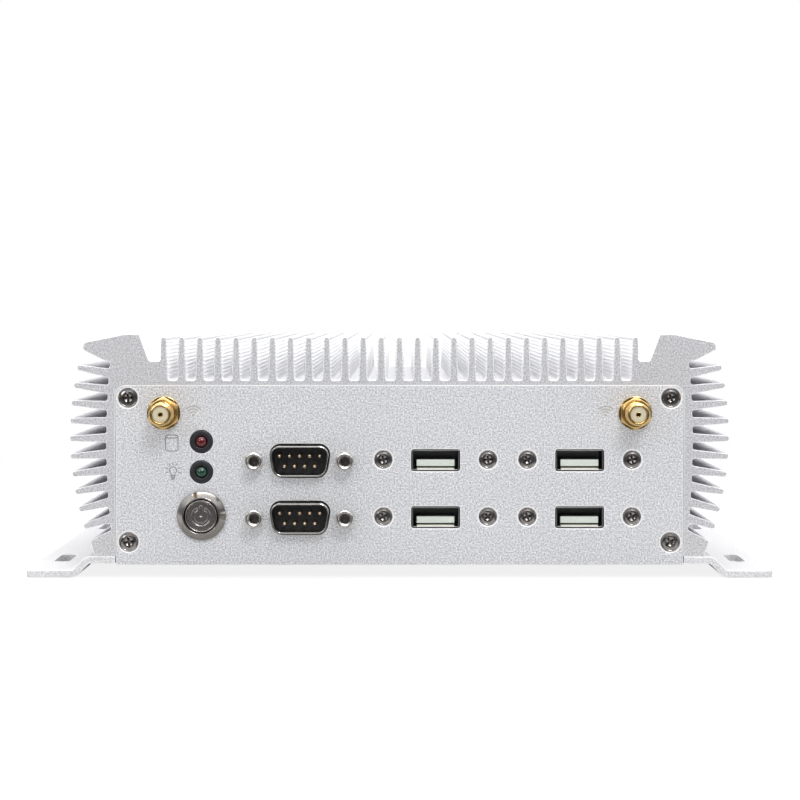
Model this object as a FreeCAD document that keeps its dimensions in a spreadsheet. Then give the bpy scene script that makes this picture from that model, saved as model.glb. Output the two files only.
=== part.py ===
import FreeCAD, Part
import math
import os
import Sketcher

# Fanless industrial computer: one extruded heat-sink housing, closed by two flat panels and a
# bottom cover, standing on two folded brackets. Millimetres. X runs along the front, Y into the
# depth (the front panel faces -Y) and Z up from the surface that the brackets stand on.

os.makedirs("parts", exist_ok=True)
doc = FreeCAD.newDocument("FanlessComputer")
Vector = FreeCAD.Vector
INWARD = Vector(0, 1, 0)
OUTWARD = Vector(0, -1, 0)
UP = Vector(0, 0, 1)
DOWN = Vector(0, 0, -1)

# ---------------------------------------------------------------- driving sizes

SIZES = {
    "housing": {
        "body_depth": 150.0,
        "front_reach": 9.6,
        "rear_reach": 5.8,
        "base_height": 5.85,
        "cavity_tall": 43.75,
        "roof_thick": 5.0,
        "flank_wall": 3.6,
        "panel_ledge": 2.2,
        "rib_reach": 3.6,
        "rib_drop": 4.0,
        "rib_rise": 8.0,
        "rib_fillet": 0.6,
    },
    "top_fins": {
        "fin_pitch": 5.0,
        "fins_each_side": 13,
        "fin_tall": 11.9,
        "fin_root_width": 2.3,
        "fin_tip_width": 1.4,
        "fin_tip_round": 0.6,
        "floor_fillet": 0.7,
        "notch_rise": 5.3,
        "notch_width": 4.0,
        "lobe_rise": 0.8,
        "lobe_lean": 2.8,
        "lobe_flat": 4.0,
        "lobe_overhang": 7.7,
        "lobe_shoulder_inset": 0.7,
        "lobe_shoulder_drop": 2.2,
        "lobe_tip_drop": 4.1,
        "lobe_under_inset": 5.7,
        "lobe_under_drop": 2.9,
        "lobe_round": 1.0,
        "lobe_crown_round": 2.8,
        "lobe_edge_round": 0.35,
    },
    "side_fins": {
        "side_fin_count": 10,
        "side_gap_drop": 1.1,
        "side_gap_width": 1.95,
        "side_bulge": 1.1,
        "side_tip_width": 1.5,
        "side_tip_round": 0.69,
        "side_fin_reach": 11.2,
        "side_arc_rise": 33.15,
        "side_arc_radius": 85.0,
        "side_first_angle": 13.05,
        "side_angle_step": 3.34,
        "foot_gap_rise": 8.35,
        "foot_reach": 4.4,
        "foot_flare": 1.4,
        "foot_neck": 3.0,
    },
    "panels": {
        "panel_thick": 3.0,
        "panel_half": 78.4,
        "panel_drop": 2.35,
        "panel_lap": 3.7,
        "panel_corner": 2.4,
        "seat_gap": 0.1,
        "cover_thick": 2.0,
    },
    "brackets": {
        "bracket_thick": 2.0,
        "bracket_side_gap": 0.25,
        "bracket_land": 7.75,
        "bracket_reach": 13.15,
        "bracket_bend_inside": 0.9,
        "bracket_corner": 1.5,
        "slot_edge": 6.4,
        "slot_width": 4.5,
        "slot_reach": 18.0,
        "slot_end_flat": 0.005,
        "slot_inset": 30.0,
        "bracket_screw_edge": 2.75,
        "bracket_screw_inset": 22.0,
    },
    "screws": {
        "screw_thread": 3.0,
        "screw_head": 5.4,
        "screw_land": 0.2,
        "screw_reach": 10.0,
        "short_screw_reach": 6.0,
        "screw_clear": 0.2,
        "thread_play": 0.05,
        "thread_end_gap": 1.0,
        "corner_screw_inset": 3.5,
        "corner_screw_rise": 6.4,
        "cover_screw_edge": 3.4,
        "cover_screw_inset": 20.0,
    },
    "antenna_jacks": {
        "antenna_inset": 13.4,
        "antenna_drop": 7.7,
        "antenna_barrel": 6.35,
        "antenna_bore": 4.6,
        "antenna_contact": 1.3,
        "antenna_socket": 0.95,
        "antenna_body": 8.0,
        "antenna_body_reach": 4.0,
        "antenna_tail_width": 4.0,
        "antenna_tail": 5.0,
        "antenna_end_wall": 1.0,
        "antenna_socket_deep": 6.0,
        "antenna_nut_face": 7.5,
        "antenna_nut_flats": 8.0,
        "antenna_nut_thick": 2.3,
        "antenna_washer": 9.2,
        "antenna_washer_thick": 0.5,
        "antenna_recess": 0.6,
        "antenna_bevel": 0.3,
    },
    "lamps": {
        "lamp_rise": 12.1,
        "lamp_pitch": 8.4,
        "lamp_holder": 6.3,
        "lamp_holder_lip": 0.35,
        "lamp_holder_bevel": 0.25,
        "lamp_holder_deep": 7.0,
        "lamp_bore": 3.2,
        "lamp_dome": 3.0,
        "lamp_dome_flat": 1.2,
        "lamp_flange": 3.9,
        "lamp_flange_seat": 1.2,
        "lamp_flange_thick": 1.0,
        "lamp_body_deep": 4.4,
        "lamp_proud": 0.9,
    },
    "power_button": {
        "button_inset": 23.7,
        "button_rise": 13.7,
        "button_bezel": 13.6,
        "button_bezel_reach": 2.2,
        "button_bezel_land": 11.4,
        "button_rim": 0.8,
        "button_cap_bevel": 0.25,
        "button_barrel": 12.0,
        "button_barrel_deep": 14.0,
        "button_bore": 9.6,
        "button_cap": 9.0,
        "button_cap_thick": 3.2,
        "button_cap_sunk": 0.15,
        "button_stem": 4.0,
        "button_stem_long": 4.2,
        "button_travel": 1.5,
        "button_floor_gap": 0.6,
        "button_nut_flats": 14.0,
        "button_nut_thick": 2.4,
        "button_block": 10.6,
        "button_block_deep": 5.0,
    },
    "serial_ports": {
        "serial_place": 27.5,
        "port_rise": 13.1,
        "port_pitch": 15.8,
        "serial_wide": 16.9,
        "serial_tall": 8.4,
        "serial_slant": 10.0,
        "serial_corner": 2.6,
        "serial_wall": 0.45,
        "serial_cut_gap": 0.55,
        "serial_reach": 3.0,
        "serial_flange_wide": 30.8,
        "serial_flange_tall": 12.5,
        "serial_flange_thick": 0.8,
        "serial_face_sunk": 5.0,
        "serial_block_deep": 6.0,
        "serial_pin": 1.02,
        "serial_pin_pitch": 2.77,
        "serial_row_pitch": 2.84,
        "serial_pin_short": 0.6,
        "serial_tail": 3.0,
        "jackscrew_spacing": 25.0,
        "jackscrew_flats": 4.75,
        "jackscrew_reach": 4.8,
        "jackscrew_bore": 2.85,
        "jackscrew_bore_deep": 4.1,
        "jackscrew_face": 4.3,
        "jackscrew_mouth": 3.7,
        "jackscrew_shank": 2.8,
        "jackscrew_tail": 3.5,
    },
    "usb_ports": {
        "usb_place": 10.0,
        "usb_spacing": 39.8,
        "usb_rise": 0.15,
        "usb_wide": 13.15,
        "usb_tall": 5.75,
        "usb_wall": 0.32,
        "usb_corner": 0.6,
        "usb_cut_gap": 0.2,
        "usb_sunk": 0.3,
        "usb_deep": 14.0,
        "usb_tongue_wide": 10.5,
        "usb_tongue_thick": 1.84,
        "usb_tongue_drop": 0.8,
        "usb_tongue_sunk": 1.0,
        "usb_back_deep": 5.0,
        "usb_screw_spacing": 28.9,
        "usb_screw_rise": 0.2,
        "usb_screw_head": 5.0,
        "usb_screw_end_gap": 0.5,
        "usb_mount_wide": 35.0,
        "usb_mount_tall": 9.6,
        "usb_mount_thick": 5.0,
    },
    "board": {
        "board_side_gap": 3.2,
        "board_deep": 102.0,
        "board_thick": 1.6,
        "board_lift": 11.15,
        "board_rear_gap": 0.4,
        "board_hole_inset": 3.5,
        "standoff_width": 5.5,
        "board_screw_head": 5.4,
        "board_screw_head_tall": 2.0,
        "board_screw_reach": 8.3,
        "processor_side": 31.0,
        "processor_tall": 2.2,
        "processor_forward": 12.0,
        "pad_tall": 0.5,
        "block_side": 54.0,
        "memory_place": 47.0,
        "memory_wide": 67.6,
        "memory_deep": 30.0,
        "memory_thick": 1.1,
        "memory_lift": 3.2,
        "memory_forward": 4.0,
        "memory_socket_wide": 70.0,
        "memory_socket_deep": 6.6,
        "memory_socket_tall": 5.2,
        "memory_groove_deep": 4.0,
        "card_place": 50.0,
        "card_wide": 30.0,
        "card_deep": 50.95,
        "card_thick": 1.0,
        "card_lift": 3.4,
        "card_can": 18.0,
        "card_can_tall": 1.6,
        "card_socket_deep": 6.0,
        "card_socket_tall": 4.8,
    },
    "drive": {
        "drive_wide": 69.85,
        "drive_long": 100.2,
        "drive_tall": 7.0,
        "drive_hole_inset": 4.0,
        "drive_hole_span": 76.6,
        "drive_hole_start": 14.0,
        "drive_forward": 20.0,
        "drive_screw_deep": 4.5,
        "drive_screw_end_gap": 0.5,
    },
    "rear_connectors": {
        "rear_proud": 0.4,
        "rear_cut_gap": 0.2,
        "supply_place": -61.0,
        "supply_rise": 7.9,
        "supply_barrel": 8.0,
        "supply_bore": 6.3,
        "supply_pin": 2.1,
        "supply_flange": 11.0,
        "supply_reach": 2.0,
        "supply_deep": 11.0,
        "supply_bore_deep": 9.0,
        "supply_pin_sunk": 1.0,
        "display_place": -38.0,
        "display_rise": 6.3,
        "display_insert_sunk": 0.2,
        "video_place": -9.0,
        "video_wide": 15.0,
        "video_tall": 5.6,
        "video_deep": 12.0,
        "video_tongue_wide": 11.0,
        "video_tongue_thick": 1.2,
        "video_back_deep": 2.0,
        "lan_place": 14.0,
        "lan_pitch": 18.5,
        "lan_wide": 16.0,
        "lan_tall": 13.5,
        "lan_deep": 21.3,
        "lan_mouth_wide": 11.8,
        "lan_mouth_tall": 8.2,
        "lan_mouth_rise": 4.2,
        "lan_mouth_deep": 13.0,
        "lan_latch_deep": 2.4,
        "rear_usb_place": 56.0,
        "rear_usb_pitch": 7.6,
        "rear_usb_tall": 15.6,
        "rear_usb_deep": 17.0,
    },
}


def fill_sheet(groups):
    """Writes every named size as plain text, with its name as the alias of its cell."""
    sheet = doc.addObject("Spreadsheet::Sheet", "Sizes")
    row = 1
    for group, values in groups.items():
        sheet.set(f"A{row}", group)
        row += 1
        for name, value in values.items():
            sheet.set(f"A{row}", name)
            sheet.set(f"B{row}", str(value))
            sheet.setAlias(f"B{row}", name)
            row += 1
    doc.recompute()
    return sheet


class Size:
    """A length that knows its number and the spreadsheet expression that gives it."""

    def __init__(self, text, number):
        self.text = text
        self.number = float(number)

    def __float__(self):
        return self.number

    def __neg__(self):
        return Size(f"(0 - {self.text})", -self.number)

    def __add__(self, other):
        return Size(f"({self.text} + {text_of(other)})", self.number + float(other))

    def __radd__(self, other):
        return Size(f"({text_of(other)} + {self.text})", float(other) + self.number)

    def __sub__(self, other):
        return Size(f"({self.text} - {text_of(other)})", self.number - float(other))

    def __rsub__(self, other):
        return Size(f"({text_of(other)} - {self.text})", float(other) - self.number)

    def __mul__(self, other):
        return Size(f"({self.text} * {text_of(other)})", self.number * float(other))

    def __rmul__(self, other):
        return Size(f"({text_of(other)} * {self.text})", float(other) * self.number)

    def __truediv__(self, other):
        return Size(f"({self.text} / {text_of(other)})", self.number / float(other))


def text_of(value):
    return value.text if isinstance(value, Size) else f"({float(value)})"


class SizeBook:
    """Gives each cell of the sheet as a Size: S.panel_thick and so on."""

    def __init__(self, sheet):
        self.sheet = sheet

    def __getattr__(self, name):
        return Size(f"{self.sheet.Name}.{name}", self.sheet.get(name))


S = SizeBook(fill_sheet(SIZES))

# Levels and faces that several pieces share, from the front back, from the middle outwards and
# from the standing surface up.
front_face = (S.front_reach - S.rear_reach) / 2 - S.body_depth / 2
rear_face = front_face + S.body_depth
panel_back = front_face + S.panel_thick
rear_panel_inside = rear_face - S.panel_thick

cavity_half = S.panel_half - S.panel_ledge
rib_half = cavity_half - S.rib_reach
side_root_half = cavity_half + S.flank_wall
foot_half = side_root_half + S.foot_reach
corner_screw_half = S.panel_half - S.corner_screw_inset
cover_screw_half = S.panel_half - S.cover_screw_edge
bracket_inner_half = S.panel_half + S.bracket_side_gap
bracket_screw_half = bracket_inner_half + S.bracket_screw_edge
bracket_bend_half = bracket_inner_half + S.bracket_land
bracket_half = bracket_bend_half + (S.base_height - S.bracket_thick) + S.bracket_reach
slot_half = bracket_half - S.slot_edge
antenna_half = S.panel_half - S.antenna_inset
button_place = S.panel_half - S.button_inset

panel_bottom = S.base_height - S.panel_drop
cover_under = S.base_height - S.cover_thick
ceiling_under = S.base_height + S.cavity_tall
panel_top = ceiling_under + S.panel_lap
fin_floor = ceiling_under + S.roof_thick
fin_top = fin_floor + S.fin_tall
notch_floor = fin_floor + S.notch_rise
side_gap_top = notch_floor - S.side_gap_drop
side_gap_bottom = S.base_height + S.foot_gap_rise
side_pitch = (side_gap_top - side_gap_bottom) / S.side_fin_count
corner_screw_top = panel_top - S.corner_screw_inset
corner_screw_low = panel_bottom + S.corner_screw_rise
antenna_height = panel_top - S.antenna_drop
button_height = panel_bottom + S.button_rise
port_height = panel_bottom + S.port_rise
board_level = S.base_height + S.board_lift
board_top = board_level + S.board_thick
board_wide = (cavity_half - S.board_side_gap) * 2
display_height = board_top + S.display_rise
supply_height = board_top + S.supply_rise

thread_hole = S.screw_thread + S.thread_play * 2
clear_hole = S.screw_thread + S.screw_clear * 2
head_grow = (S.screw_land + S.thread_play) * 2
head_hole = S.screw_head + head_grow

# ---------------------------------------------------------------- modelling helpers

pieces = []


def bind(item, prop, size):
    """Ties one property of an object to the sheet, or sets it where it's a plain number."""
    if isinstance(size, Size):
        item.setExpression(prop, size.text)
    elif prop.startswith("Placement.Base."):
        item.setExpression(prop, text_of(size))
    else:
        setattr(item, prop, size)


def place(item, x=0, y=0, z=0):
    for axis, size in (("x", x), ("y", y), ("z", z)):
        bind(item, f"Placement.Base.{axis}", size)


def new_body(label, x=0, y=0, z=0):
    """A PartDesign body whose own origin lies at x, y, z."""
    body = doc.addObject("PartDesign::Body", label)
    body.Label = label
    place(body, x, y, z)
    pieces.append(body)
    return body


def new_sketch(body, plane, level=0):
    """A sketch on the body's XY, XZ or YZ plane, moved by level along the part's own axis."""
    sketch = body.newObject("Sketcher::SketchObject", f"{body.Label}_sketch")
    for feature in body.Origin.OriginFeatures:
        if feature.Role == f"{plane}_Plane":
            sketch.AttachmentSupport = [(feature, "")]
    sketch.MapMode = "FlatFace"
    offset = -level if plane == "XZ" else level
    sketch.setExpression("AttachmentOffset.Base.z", text_of(offset))
    return sketch


def hold(sketch, kind, item, point, size):
    """Holds a point of the sketch at a distance from its origin."""
    link = sketch.addConstraint(Sketcher.Constraint(kind, -1, 1, item, point, float(size)))
    if isinstance(size, Size):
        sketch.setExpression(f"Constraints[{link}]", size.text)


def polygon(sketch, points):
    """A closed outline of straight lines, each corner held by the sheet."""
    corners = [Vector(float(x), float(y), 0) for x, y in points]
    count = len(corners)
    lines = [Part.LineSegment(corners[i], corners[(i + 1) % count]) for i in range(count)]
    first = sketch.addGeometry(lines, False)[0]
    for i in range(count):
        after = first + (i + 1) % count
        sketch.addConstraint(Sketcher.Constraint("Coincident", first + i, 2, after, 1))
    for i, (x, y) in enumerate(points):
        hold(sketch, "DistanceX", first + i, 1, x)
        hold(sketch, "DistanceY", first + i, 1, y)


def rectangle(sketch, left, right, low, high):
    polygon(sketch, [(left, low), (right, low), (right, high), (left, high)])


def circle(sketch, x, y, diameter):
    ring = Part.Circle(Vector(float(x), float(y), 0), Vector(0, 0, 1), float(diameter) / 2)
    item = sketch.addGeometry(ring, False)
    hold(sketch, "DistanceX", item, 3, x)
    hold(sketch, "DistanceY", item, 3, y)
    link = sketch.addConstraint(Sketcher.Constraint("Diameter", item, float(diameter)))
    if isinstance(diameter, Size):
        sketch.setExpression(f"Constraints[{link}]", diameter.text)


def rounded_edges(points):
    """Lines and tangent arcs of a closed outline whose corners are x, y and a radius."""
    corners = [(Vector(float(x), float(y), 0), float(radius)) for x, y, radius in points]
    count = len(corners)
    ends = []
    arcs = []
    for i, (corner, radius) in enumerate(corners):
        back = (corners[i - 1][0] - corner).normalize()
        ahead = (corners[(i + 1) % count][0] - corner).normalize()
        half = back.getAngle(ahead) / 2
        if radius <= 0 or abs(half - math.pi / 2) < 1e-6:
            ends.append((corner, corner))
            arcs.append(None)
            continue
        start = corner + back * (radius / math.tan(half))
        stop = corner + ahead * (radius / math.tan(half))
        bisector = (back + ahead).normalize()
        middle = corner + bisector * (radius / math.sin(half) - radius)
        ends.append((start, stop))
        arcs.append(Part.Arc(start, middle, stop))
    edges = []
    for i in range(count):
        if arcs[i] is not None:
            edges.append(arcs[i])
        leave = ends[i][1]
        arrive = ends[(i + 1) % count][0]
        if (leave - arrive).Length > 1e-6:
            edges.append(Part.LineSegment(leave, arrive))
    return edges


def rounded(sketch, points):
    sketch.addGeometry(rounded_edges(points), False)


def rounded_rectangle(sketch, left, right, low, high, radius):
    corners = [(left, low), (right, low), (right, high), (left, high)]
    rounded(sketch, [(x, y, radius) for x, y in corners])


def pad(body, sketch, length, towards_normal):
    """Pads a sketch: XY sketches rise along +Z and XZ sketches go to -Y by their normal."""
    doc.recompute()
    item = body.newObject("PartDesign::Pad", f"{body.Label}_pad")
    item.Profile = sketch
    item.Reversed = not towards_normal
    item.Refine = False
    bind(item, "Length", length)
    doc.recompute()
    return item


def pocket(body, sketch, length, towards_normal):
    """Cuts a sketch into the body and makes sure that it took something away."""
    doc.recompute()
    before = body.Shape.Volume
    item = body.newObject("PartDesign::Pocket", f"{body.Label}_pocket")
    item.Profile = sketch
    item.Reversed = towards_normal
    item.Refine = False
    bind(item, "Length", length)
    doc.recompute()
    if body.Shape.Volume >= before:
        raise RuntimeError(f"{body.Label}: a pocket removed nothing")
    return item


def countersink(body, head, spots, direction):
    """Cuts a 90 degree cone at each spot, wide end first, going in along direction."""
    for x, y, z in spots:
        cone = body.newObject("PartDesign::SubtractiveCone", f"{body.Label}_countersink")
        cone.Refine = False
        bind(cone, "Radius1", head / 2)
        bind(cone, "Radius2", clear_hole / 2)
        bind(cone, "Height", (head - clear_hole) / 2)
        cone.Placement = FreeCAD.Placement(Vector(), FreeCAD.Rotation(UP, direction))
        place(cone, x, y, z)
    doc.recompute()


def turned(label, points, x, y, z, draw=polygon):
    """A piece turned about its own Y axis; points are radius and depth behind y."""
    body = new_body(label, x, y, z)
    sketch = new_sketch(body, "XY")
    draw(sketch, points)
    doc.recompute()
    item = body.newObject("PartDesign::Revolution", f"{label}_turn")
    item.Profile = sketch
    item.ReferenceAxis = (sketch, ["V_Axis"])
    item.Angle = 360
    doc.recompute()
    return body


def block(label, left, right, front, back, low, high):
    """A plain box as a body, from its six faces."""
    body = new_body(label)
    sketch = new_sketch(body, "XY", low)
    rectangle(sketch, left, right, front, back)
    pad(body, sketch, high - low, True)
    return body


def group(label, shapes):
    """Several equal solids in one node."""
    item = doc.addObject("Part::Feature", label)
    item.Label = label
    item.Shape = Part.makeCompound(shapes)
    item.Placement = FreeCAD.Placement()
    pieces.append(item)
    return item


def cylinder(diameter, length, start, direction):
    return Part.makeCylinder(float(diameter) / 2, float(length), start, direction)


def flat_head_screw(head, reach, face, direction):
    """A 90 degree countersunk screw whose head lies flush at face, driven along direction."""
    thread = float(S.screw_thread) / 2
    rim = float(head) / 2
    land = float(S.screw_land)
    rim_disc = Part.makeCylinder(rim, land, face, direction)
    under_rim = face + direction * land
    cone = Part.makeCone(rim, thread, rim - thread, under_rim, direction)
    shank = Part.makeCylinder(thread, float(reach), face, direction)
    return rim_disc.fuse([cone, shank]).removeSplitter()


def cheese_head_screw(seat, direction):
    """A board screw with a plain round head on seat and its shank driven along direction."""
    head = cylinder(S.board_screw_head, S.board_screw_head_tall, seat, direction * -1)
    return head.fuse(cylinder(S.screw_thread, S.board_screw_reach, seat, direction))


def point(x, y, z):
    return Vector(float(x), float(y), float(z))


# ---------------------------------------------------------------- heat-sink housing


def side_root(z):
    """Half width at the bottom of a side gap: the flank bulges a little at its middle."""
    half_span = float(side_gap_top - side_gap_bottom) / 2
    middle = float(side_gap_bottom) + half_span
    return float(side_root_half) + float(S.side_bulge) * (1 - ((z - middle) / half_span) ** 2)


def side_fin(number):
    """Corners of one fanned side fin, counted from the top, from its lower to its upper root."""
    thick = float(side_pitch) - float(S.side_gap_width)
    root = float(side_gap_top) - float(side_pitch) * (number + 0.5)
    angle = math.radians(float(S.side_first_angle) - float(S.side_angle_step) * number)
    arc_middle = float(side_root_half + S.side_fin_reach - S.side_arc_radius)
    tip = Vector(
        arc_middle + float(S.side_arc_radius) * math.cos(angle),
        float(S.base_height + S.side_arc_rise) + float(S.side_arc_radius) * math.sin(angle),
        0,
    )
    along = (tip - Vector(side_root(root), root, 0)).normalize()
    across = Vector(-along.y, along.x, 0) * (float(S.side_tip_width) / 2)
    low = root - thick / 2
    high = root + thick / 2
    return [
        (side_root(low), low, S.floor_fillet),
        (tip.x - across.x, tip.y - across.y, S.side_tip_round),
        (tip.x + across.x, tip.y + across.y, S.side_tip_round),
        (side_root(high), high, S.floor_fillet),
    ]


def foot():
    """The foot that a bracket lies under, up to the lowest side gap."""
    gap_floor = float(side_gap_bottom - S.side_gap_width / 2)
    return [
        (rib_half, S.base_height, S.rib_fillet),
        (foot_half, S.base_height, S.rib_fillet),
        (foot_half + S.foot_flare, gap_floor - float(S.foot_neck), S.rib_fillet),
        (side_root(gap_floor), gap_floor, S.floor_fillet),
    ]


def lobe():
    """The corner lobe, from the highest side gap over its crown into the notch."""
    gap_roof = float(side_gap_top + S.side_gap_width / 2)
    inner_half = S.fin_pitch * S.fins_each_side + S.notch_width
    crown_half = inner_half + S.lobe_lean
    crown = fin_top + S.lobe_rise
    tip_half = side_root_half + S.lobe_overhang
    tip = crown - S.lobe_tip_drop
    return [
        (side_root(gap_roof), gap_roof, S.floor_fillet),
        (tip_half - S.lobe_under_inset, tip - S.lobe_under_drop, S.lobe_round),
        (tip_half, tip, S.lobe_round),
        (tip_half - S.lobe_shoulder_inset, crown - S.lobe_shoulder_drop, S.lobe_round),
        (crown_half + S.lobe_flat, crown, S.lobe_crown_round),
        (crown_half, crown, S.lobe_edge_round),
        (inner_half, notch_floor, S.floor_fillet),
    ]


def flank():
    """The right-hand edge of the section, from the foot up to the notch beside the last fin."""
    fins = []
    for number in reversed(range(int(float(S.side_fin_count)))):
        fins += side_fin(number)
    return foot() + fins + lobe()


def fin_half(z):
    """Half thickness of a tapered top fin at a height."""
    share = (z - float(fin_floor)) / float(S.fin_tall)
    width = float(S.fin_root_width) + (float(S.fin_tip_width) - float(S.fin_root_width)) * share
    return width / 2


def fin_side(middle, side, floor):
    """One tapered face of a top fin, from its rounded foot to its rounded tip."""
    top = float(fin_top)
    return [
        (middle + side * fin_half(floor), floor, S.floor_fillet),
        (middle + side * fin_half(top), top, S.fin_tip_round),
    ]


def top_fins():
    """All top fins from right to left; the outer faces of the end fins stop at the notch."""
    points = []
    last = int(float(S.fins_each_side))
    for number in range(last, -last - 1, -1):
        middle = float(S.fin_pitch) * number
        right_floor = float(notch_floor if number == last else fin_floor)
        left_floor = float(notch_floor if number == -last else fin_floor)
        points += fin_side(middle, 1, right_floor)
        points += reversed(fin_side(middle, -1, left_floor))
    return points


def mirrored(points):
    return [(-float(x), z, radius) for x, z, radius in reversed(points)]


def cavity():
    """The inner edge of the section, from the left rib's foot round to the right rib's foot."""
    right = [
        (rib_half, S.base_height + S.rib_rise, S.rib_fillet),
        (cavity_half, S.base_height + S.rib_rise, S.rib_fillet),
        (cavity_half, ceiling_under - S.rib_drop, S.rib_fillet),
        (rib_half, ceiling_under - S.rib_drop, S.rib_fillet),
        (rib_half, ceiling_under, S.rib_fillet),
    ]
    return list(reversed(mirrored(right))) + list(reversed(right))


def make_housing():
    """Extruded section, a rebate at each end for a flush panel, and the screw holes."""
    body = new_body("heatsink_housing", 0, front_face, 0)
    section = new_sketch(body, "XZ")
    rounded(section, flank() + top_fins() + mirrored(flank()) + cavity())
    pad(body, section, S.body_depth, False)

    for level, outward in ((0, False), (S.body_depth, True)):
        seat = new_sketch(body, "XZ", level)
        half = S.panel_half + S.seat_gap
        top = panel_top + S.seat_gap
        corner = S.panel_corner + S.seat_gap
        below = panel_bottom
        rounded(seat, [(-half, below, 0), (half, below, 0), (half, top, corner), (-half, top, corner)])
        pocket(body, seat, S.panel_thick, outward)
        holes = new_sketch(body, "XZ", S.panel_thick if not outward else S.body_depth - S.panel_thick)
        for x, z in corner_spots():
            circle(holes, x, z, thread_hole)
        pocket(body, holes, S.screw_reach - S.panel_thick + S.thread_end_gap, outward)

    for x_half, inset in (
        (cover_screw_half, S.cover_screw_inset),
        (bracket_screw_half, S.bracket_screw_inset),
    ):
        holes = new_sketch(body, "XY", S.base_height)
        for side in (-1, 1):
            for depth in (inset, S.body_depth - inset):
                circle(holes, side * x_half, depth, thread_hole)
        pocket(body, holes, S.short_screw_reach - S.cover_thick + S.thread_end_gap, True)
    return body


# ---------------------------------------------------------------- panels, cover and brackets


def panel_outline(sketch):
    low = panel_bottom
    top = panel_top
    half = S.panel_half
    corner = S.panel_corner
    rounded(sketch, [(-half, low, 0), (half, low, 0), (half, top, corner), (-half, top, corner)])


def corner_spots():
    """The four places where a panel is screwed to the housing."""
    return [
        (side * corner_screw_half, height)
        for side in (-1, 1)
        for height in (corner_screw_low, corner_screw_top)
    ]


def usb_screw_spots():
    """The two screws beside each front USB socket."""
    return [
        (x + side * S.usb_screw_spacing / 2, z + S.usb_screw_rise)
        for x, z in USB_PLACES
        for side in (-1, 1)
    ]


def serial_outline(x, z, grow):
    """The D of a nine-way port, wide side up, grown all round by a margin."""
    wide = S.serial_wide / 2 + grow
    tall = S.serial_tall / 2 + grow
    lean = float(S.serial_tall + grow * 2) * math.tan(math.radians(float(S.serial_slant)))
    radius = S.serial_corner + grow
    return [
        (x - wide + lean, z - tall, radius),
        (x + wide - lean, z - tall, radius),
        (x + wide, z + tall, radius),
        (x - wide, z + tall, radius),
    ]


SERIAL_PLACES = {
    "upper": (-S.serial_place, port_height + S.port_pitch),
    "lower": (-S.serial_place, port_height),
}
USB_PLACES = [
    (S.usb_place + across, port_height + S.usb_rise + up)
    for up in (S.port_pitch, 0)
    for across in (0, S.usb_spacing)
]
LAMP_PLACES = {
    "drive": (-button_place, button_height + S.lamp_rise + S.lamp_pitch),
    "power": (-button_place, button_height + S.lamp_rise),
}
ANTENNA_PLACES = {
    "left": (-antenna_half, antenna_height),
    "right": (antenna_half, antenna_height),
}


def make_front_panel():
    """Flat plate with round shoulders at its top and a cut-out for each fitting."""
    body = new_body("front_panel", 0, front_face, 0)
    plate = new_sketch(body, "XZ")
    panel_outline(plate)
    pad(body, plate, S.panel_thick, False)

    cuts = new_sketch(body, "XZ")
    for x, z in ANTENNA_PLACES.values():
        circle(cuts, x, z, S.antenna_barrel + S.seat_gap * 2)
    for x, z in LAMP_PLACES.values():
        circle(cuts, x, z, S.lamp_holder + S.seat_gap * 2)
    circle(cuts, -button_place, button_height, S.button_barrel + S.seat_gap * 2)
    for x, z in SERIAL_PLACES.values():
        rounded(cuts, serial_outline(x, z, S.serial_cut_gap))
        for side in (-1, 1):
            circle(cuts, x + side * S.jackscrew_spacing / 2, z, clear_hole)
    for x, z in USB_PLACES:
        wide = S.usb_wide / 2 + S.usb_cut_gap
        tall = S.usb_tall / 2 + S.usb_cut_gap
        rounded_rectangle(cuts, x - wide, x + wide, z - tall, z + tall, S.usb_corner + S.usb_cut_gap)
    for x, z in corner_spots() + usb_screw_spots():
        circle(cuts, x, z, clear_hole)
    pocket(body, cuts, S.panel_thick, False)
    countersink(body, head_hole, [(x, 0, z) for x, z in corner_spots()], INWARD)
    usb_head_hole = S.usb_screw_head + head_grow
    countersink(body, usb_head_hole, [(x, 0, z) for x, z in usb_screw_spots()], INWARD)
    return body


def make_rear_panel():
    """The plate at the back, with the main board's own connectors showing through it."""
    body = new_body("rear_panel", 0, rear_face, 0)
    plate = new_sketch(body, "XZ")
    panel_outline(plate)
    pad(body, plate, S.panel_thick, True)

    cuts = new_sketch(body, "XZ")
    circle(cuts, S.supply_place, supply_height, S.supply_barrel + S.seat_gap * 2)
    rounded(cuts, serial_outline(S.display_place, display_height, S.serial_cut_gap))
    for side in (-1, 1):
        circle(cuts, S.display_place + side * S.jackscrew_spacing / 2, display_height, clear_hole)
    for left, right, low, high in rear_mouths():
        gap = S.rear_cut_gap
        rectangle(cuts, left - gap, right + gap, low - gap, high + gap)
    for x, z in corner_spots():
        circle(cuts, x, z, clear_hole)
    pocket(body, cuts, S.panel_thick, True)
    countersink(body, head_hole, [(x, 0, z) for x, z in corner_spots()], OUTWARD)
    return body


def make_cover():
    """Bottom plate between the panels, countersunk from below for its own and the drive's screws."""
    body = new_body("bottom_cover", 0, panel_back, cover_under)
    plate = new_sketch(body, "XY")
    deep = S.body_depth - S.panel_thick * 2
    rectangle(plate, -S.panel_half, S.panel_half, S.seat_gap, deep - S.seat_gap)
    pad(body, plate, S.cover_thick, True)
    spots = []
    for side in (-1, 1):
        for depth in (S.cover_screw_inset, S.body_depth - S.cover_screw_inset):
            spots.append((side * cover_screw_half, depth - S.panel_thick))
        for along in (0, S.drive_hole_span):
            across = side * (S.drive_wide / 2 - S.drive_hole_inset)
            spots.append((across, S.drive_forward + S.drive_hole_start + along - S.panel_thick))
    holes = new_sketch(body, "XY")
    for x, y in spots:
        circle(holes, x, y, clear_hole)
    pocket(body, holes, S.cover_thick, True)
    countersink(body, head_hole, [(x, y, 0) for x, y in spots], UP)
    return body


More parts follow.
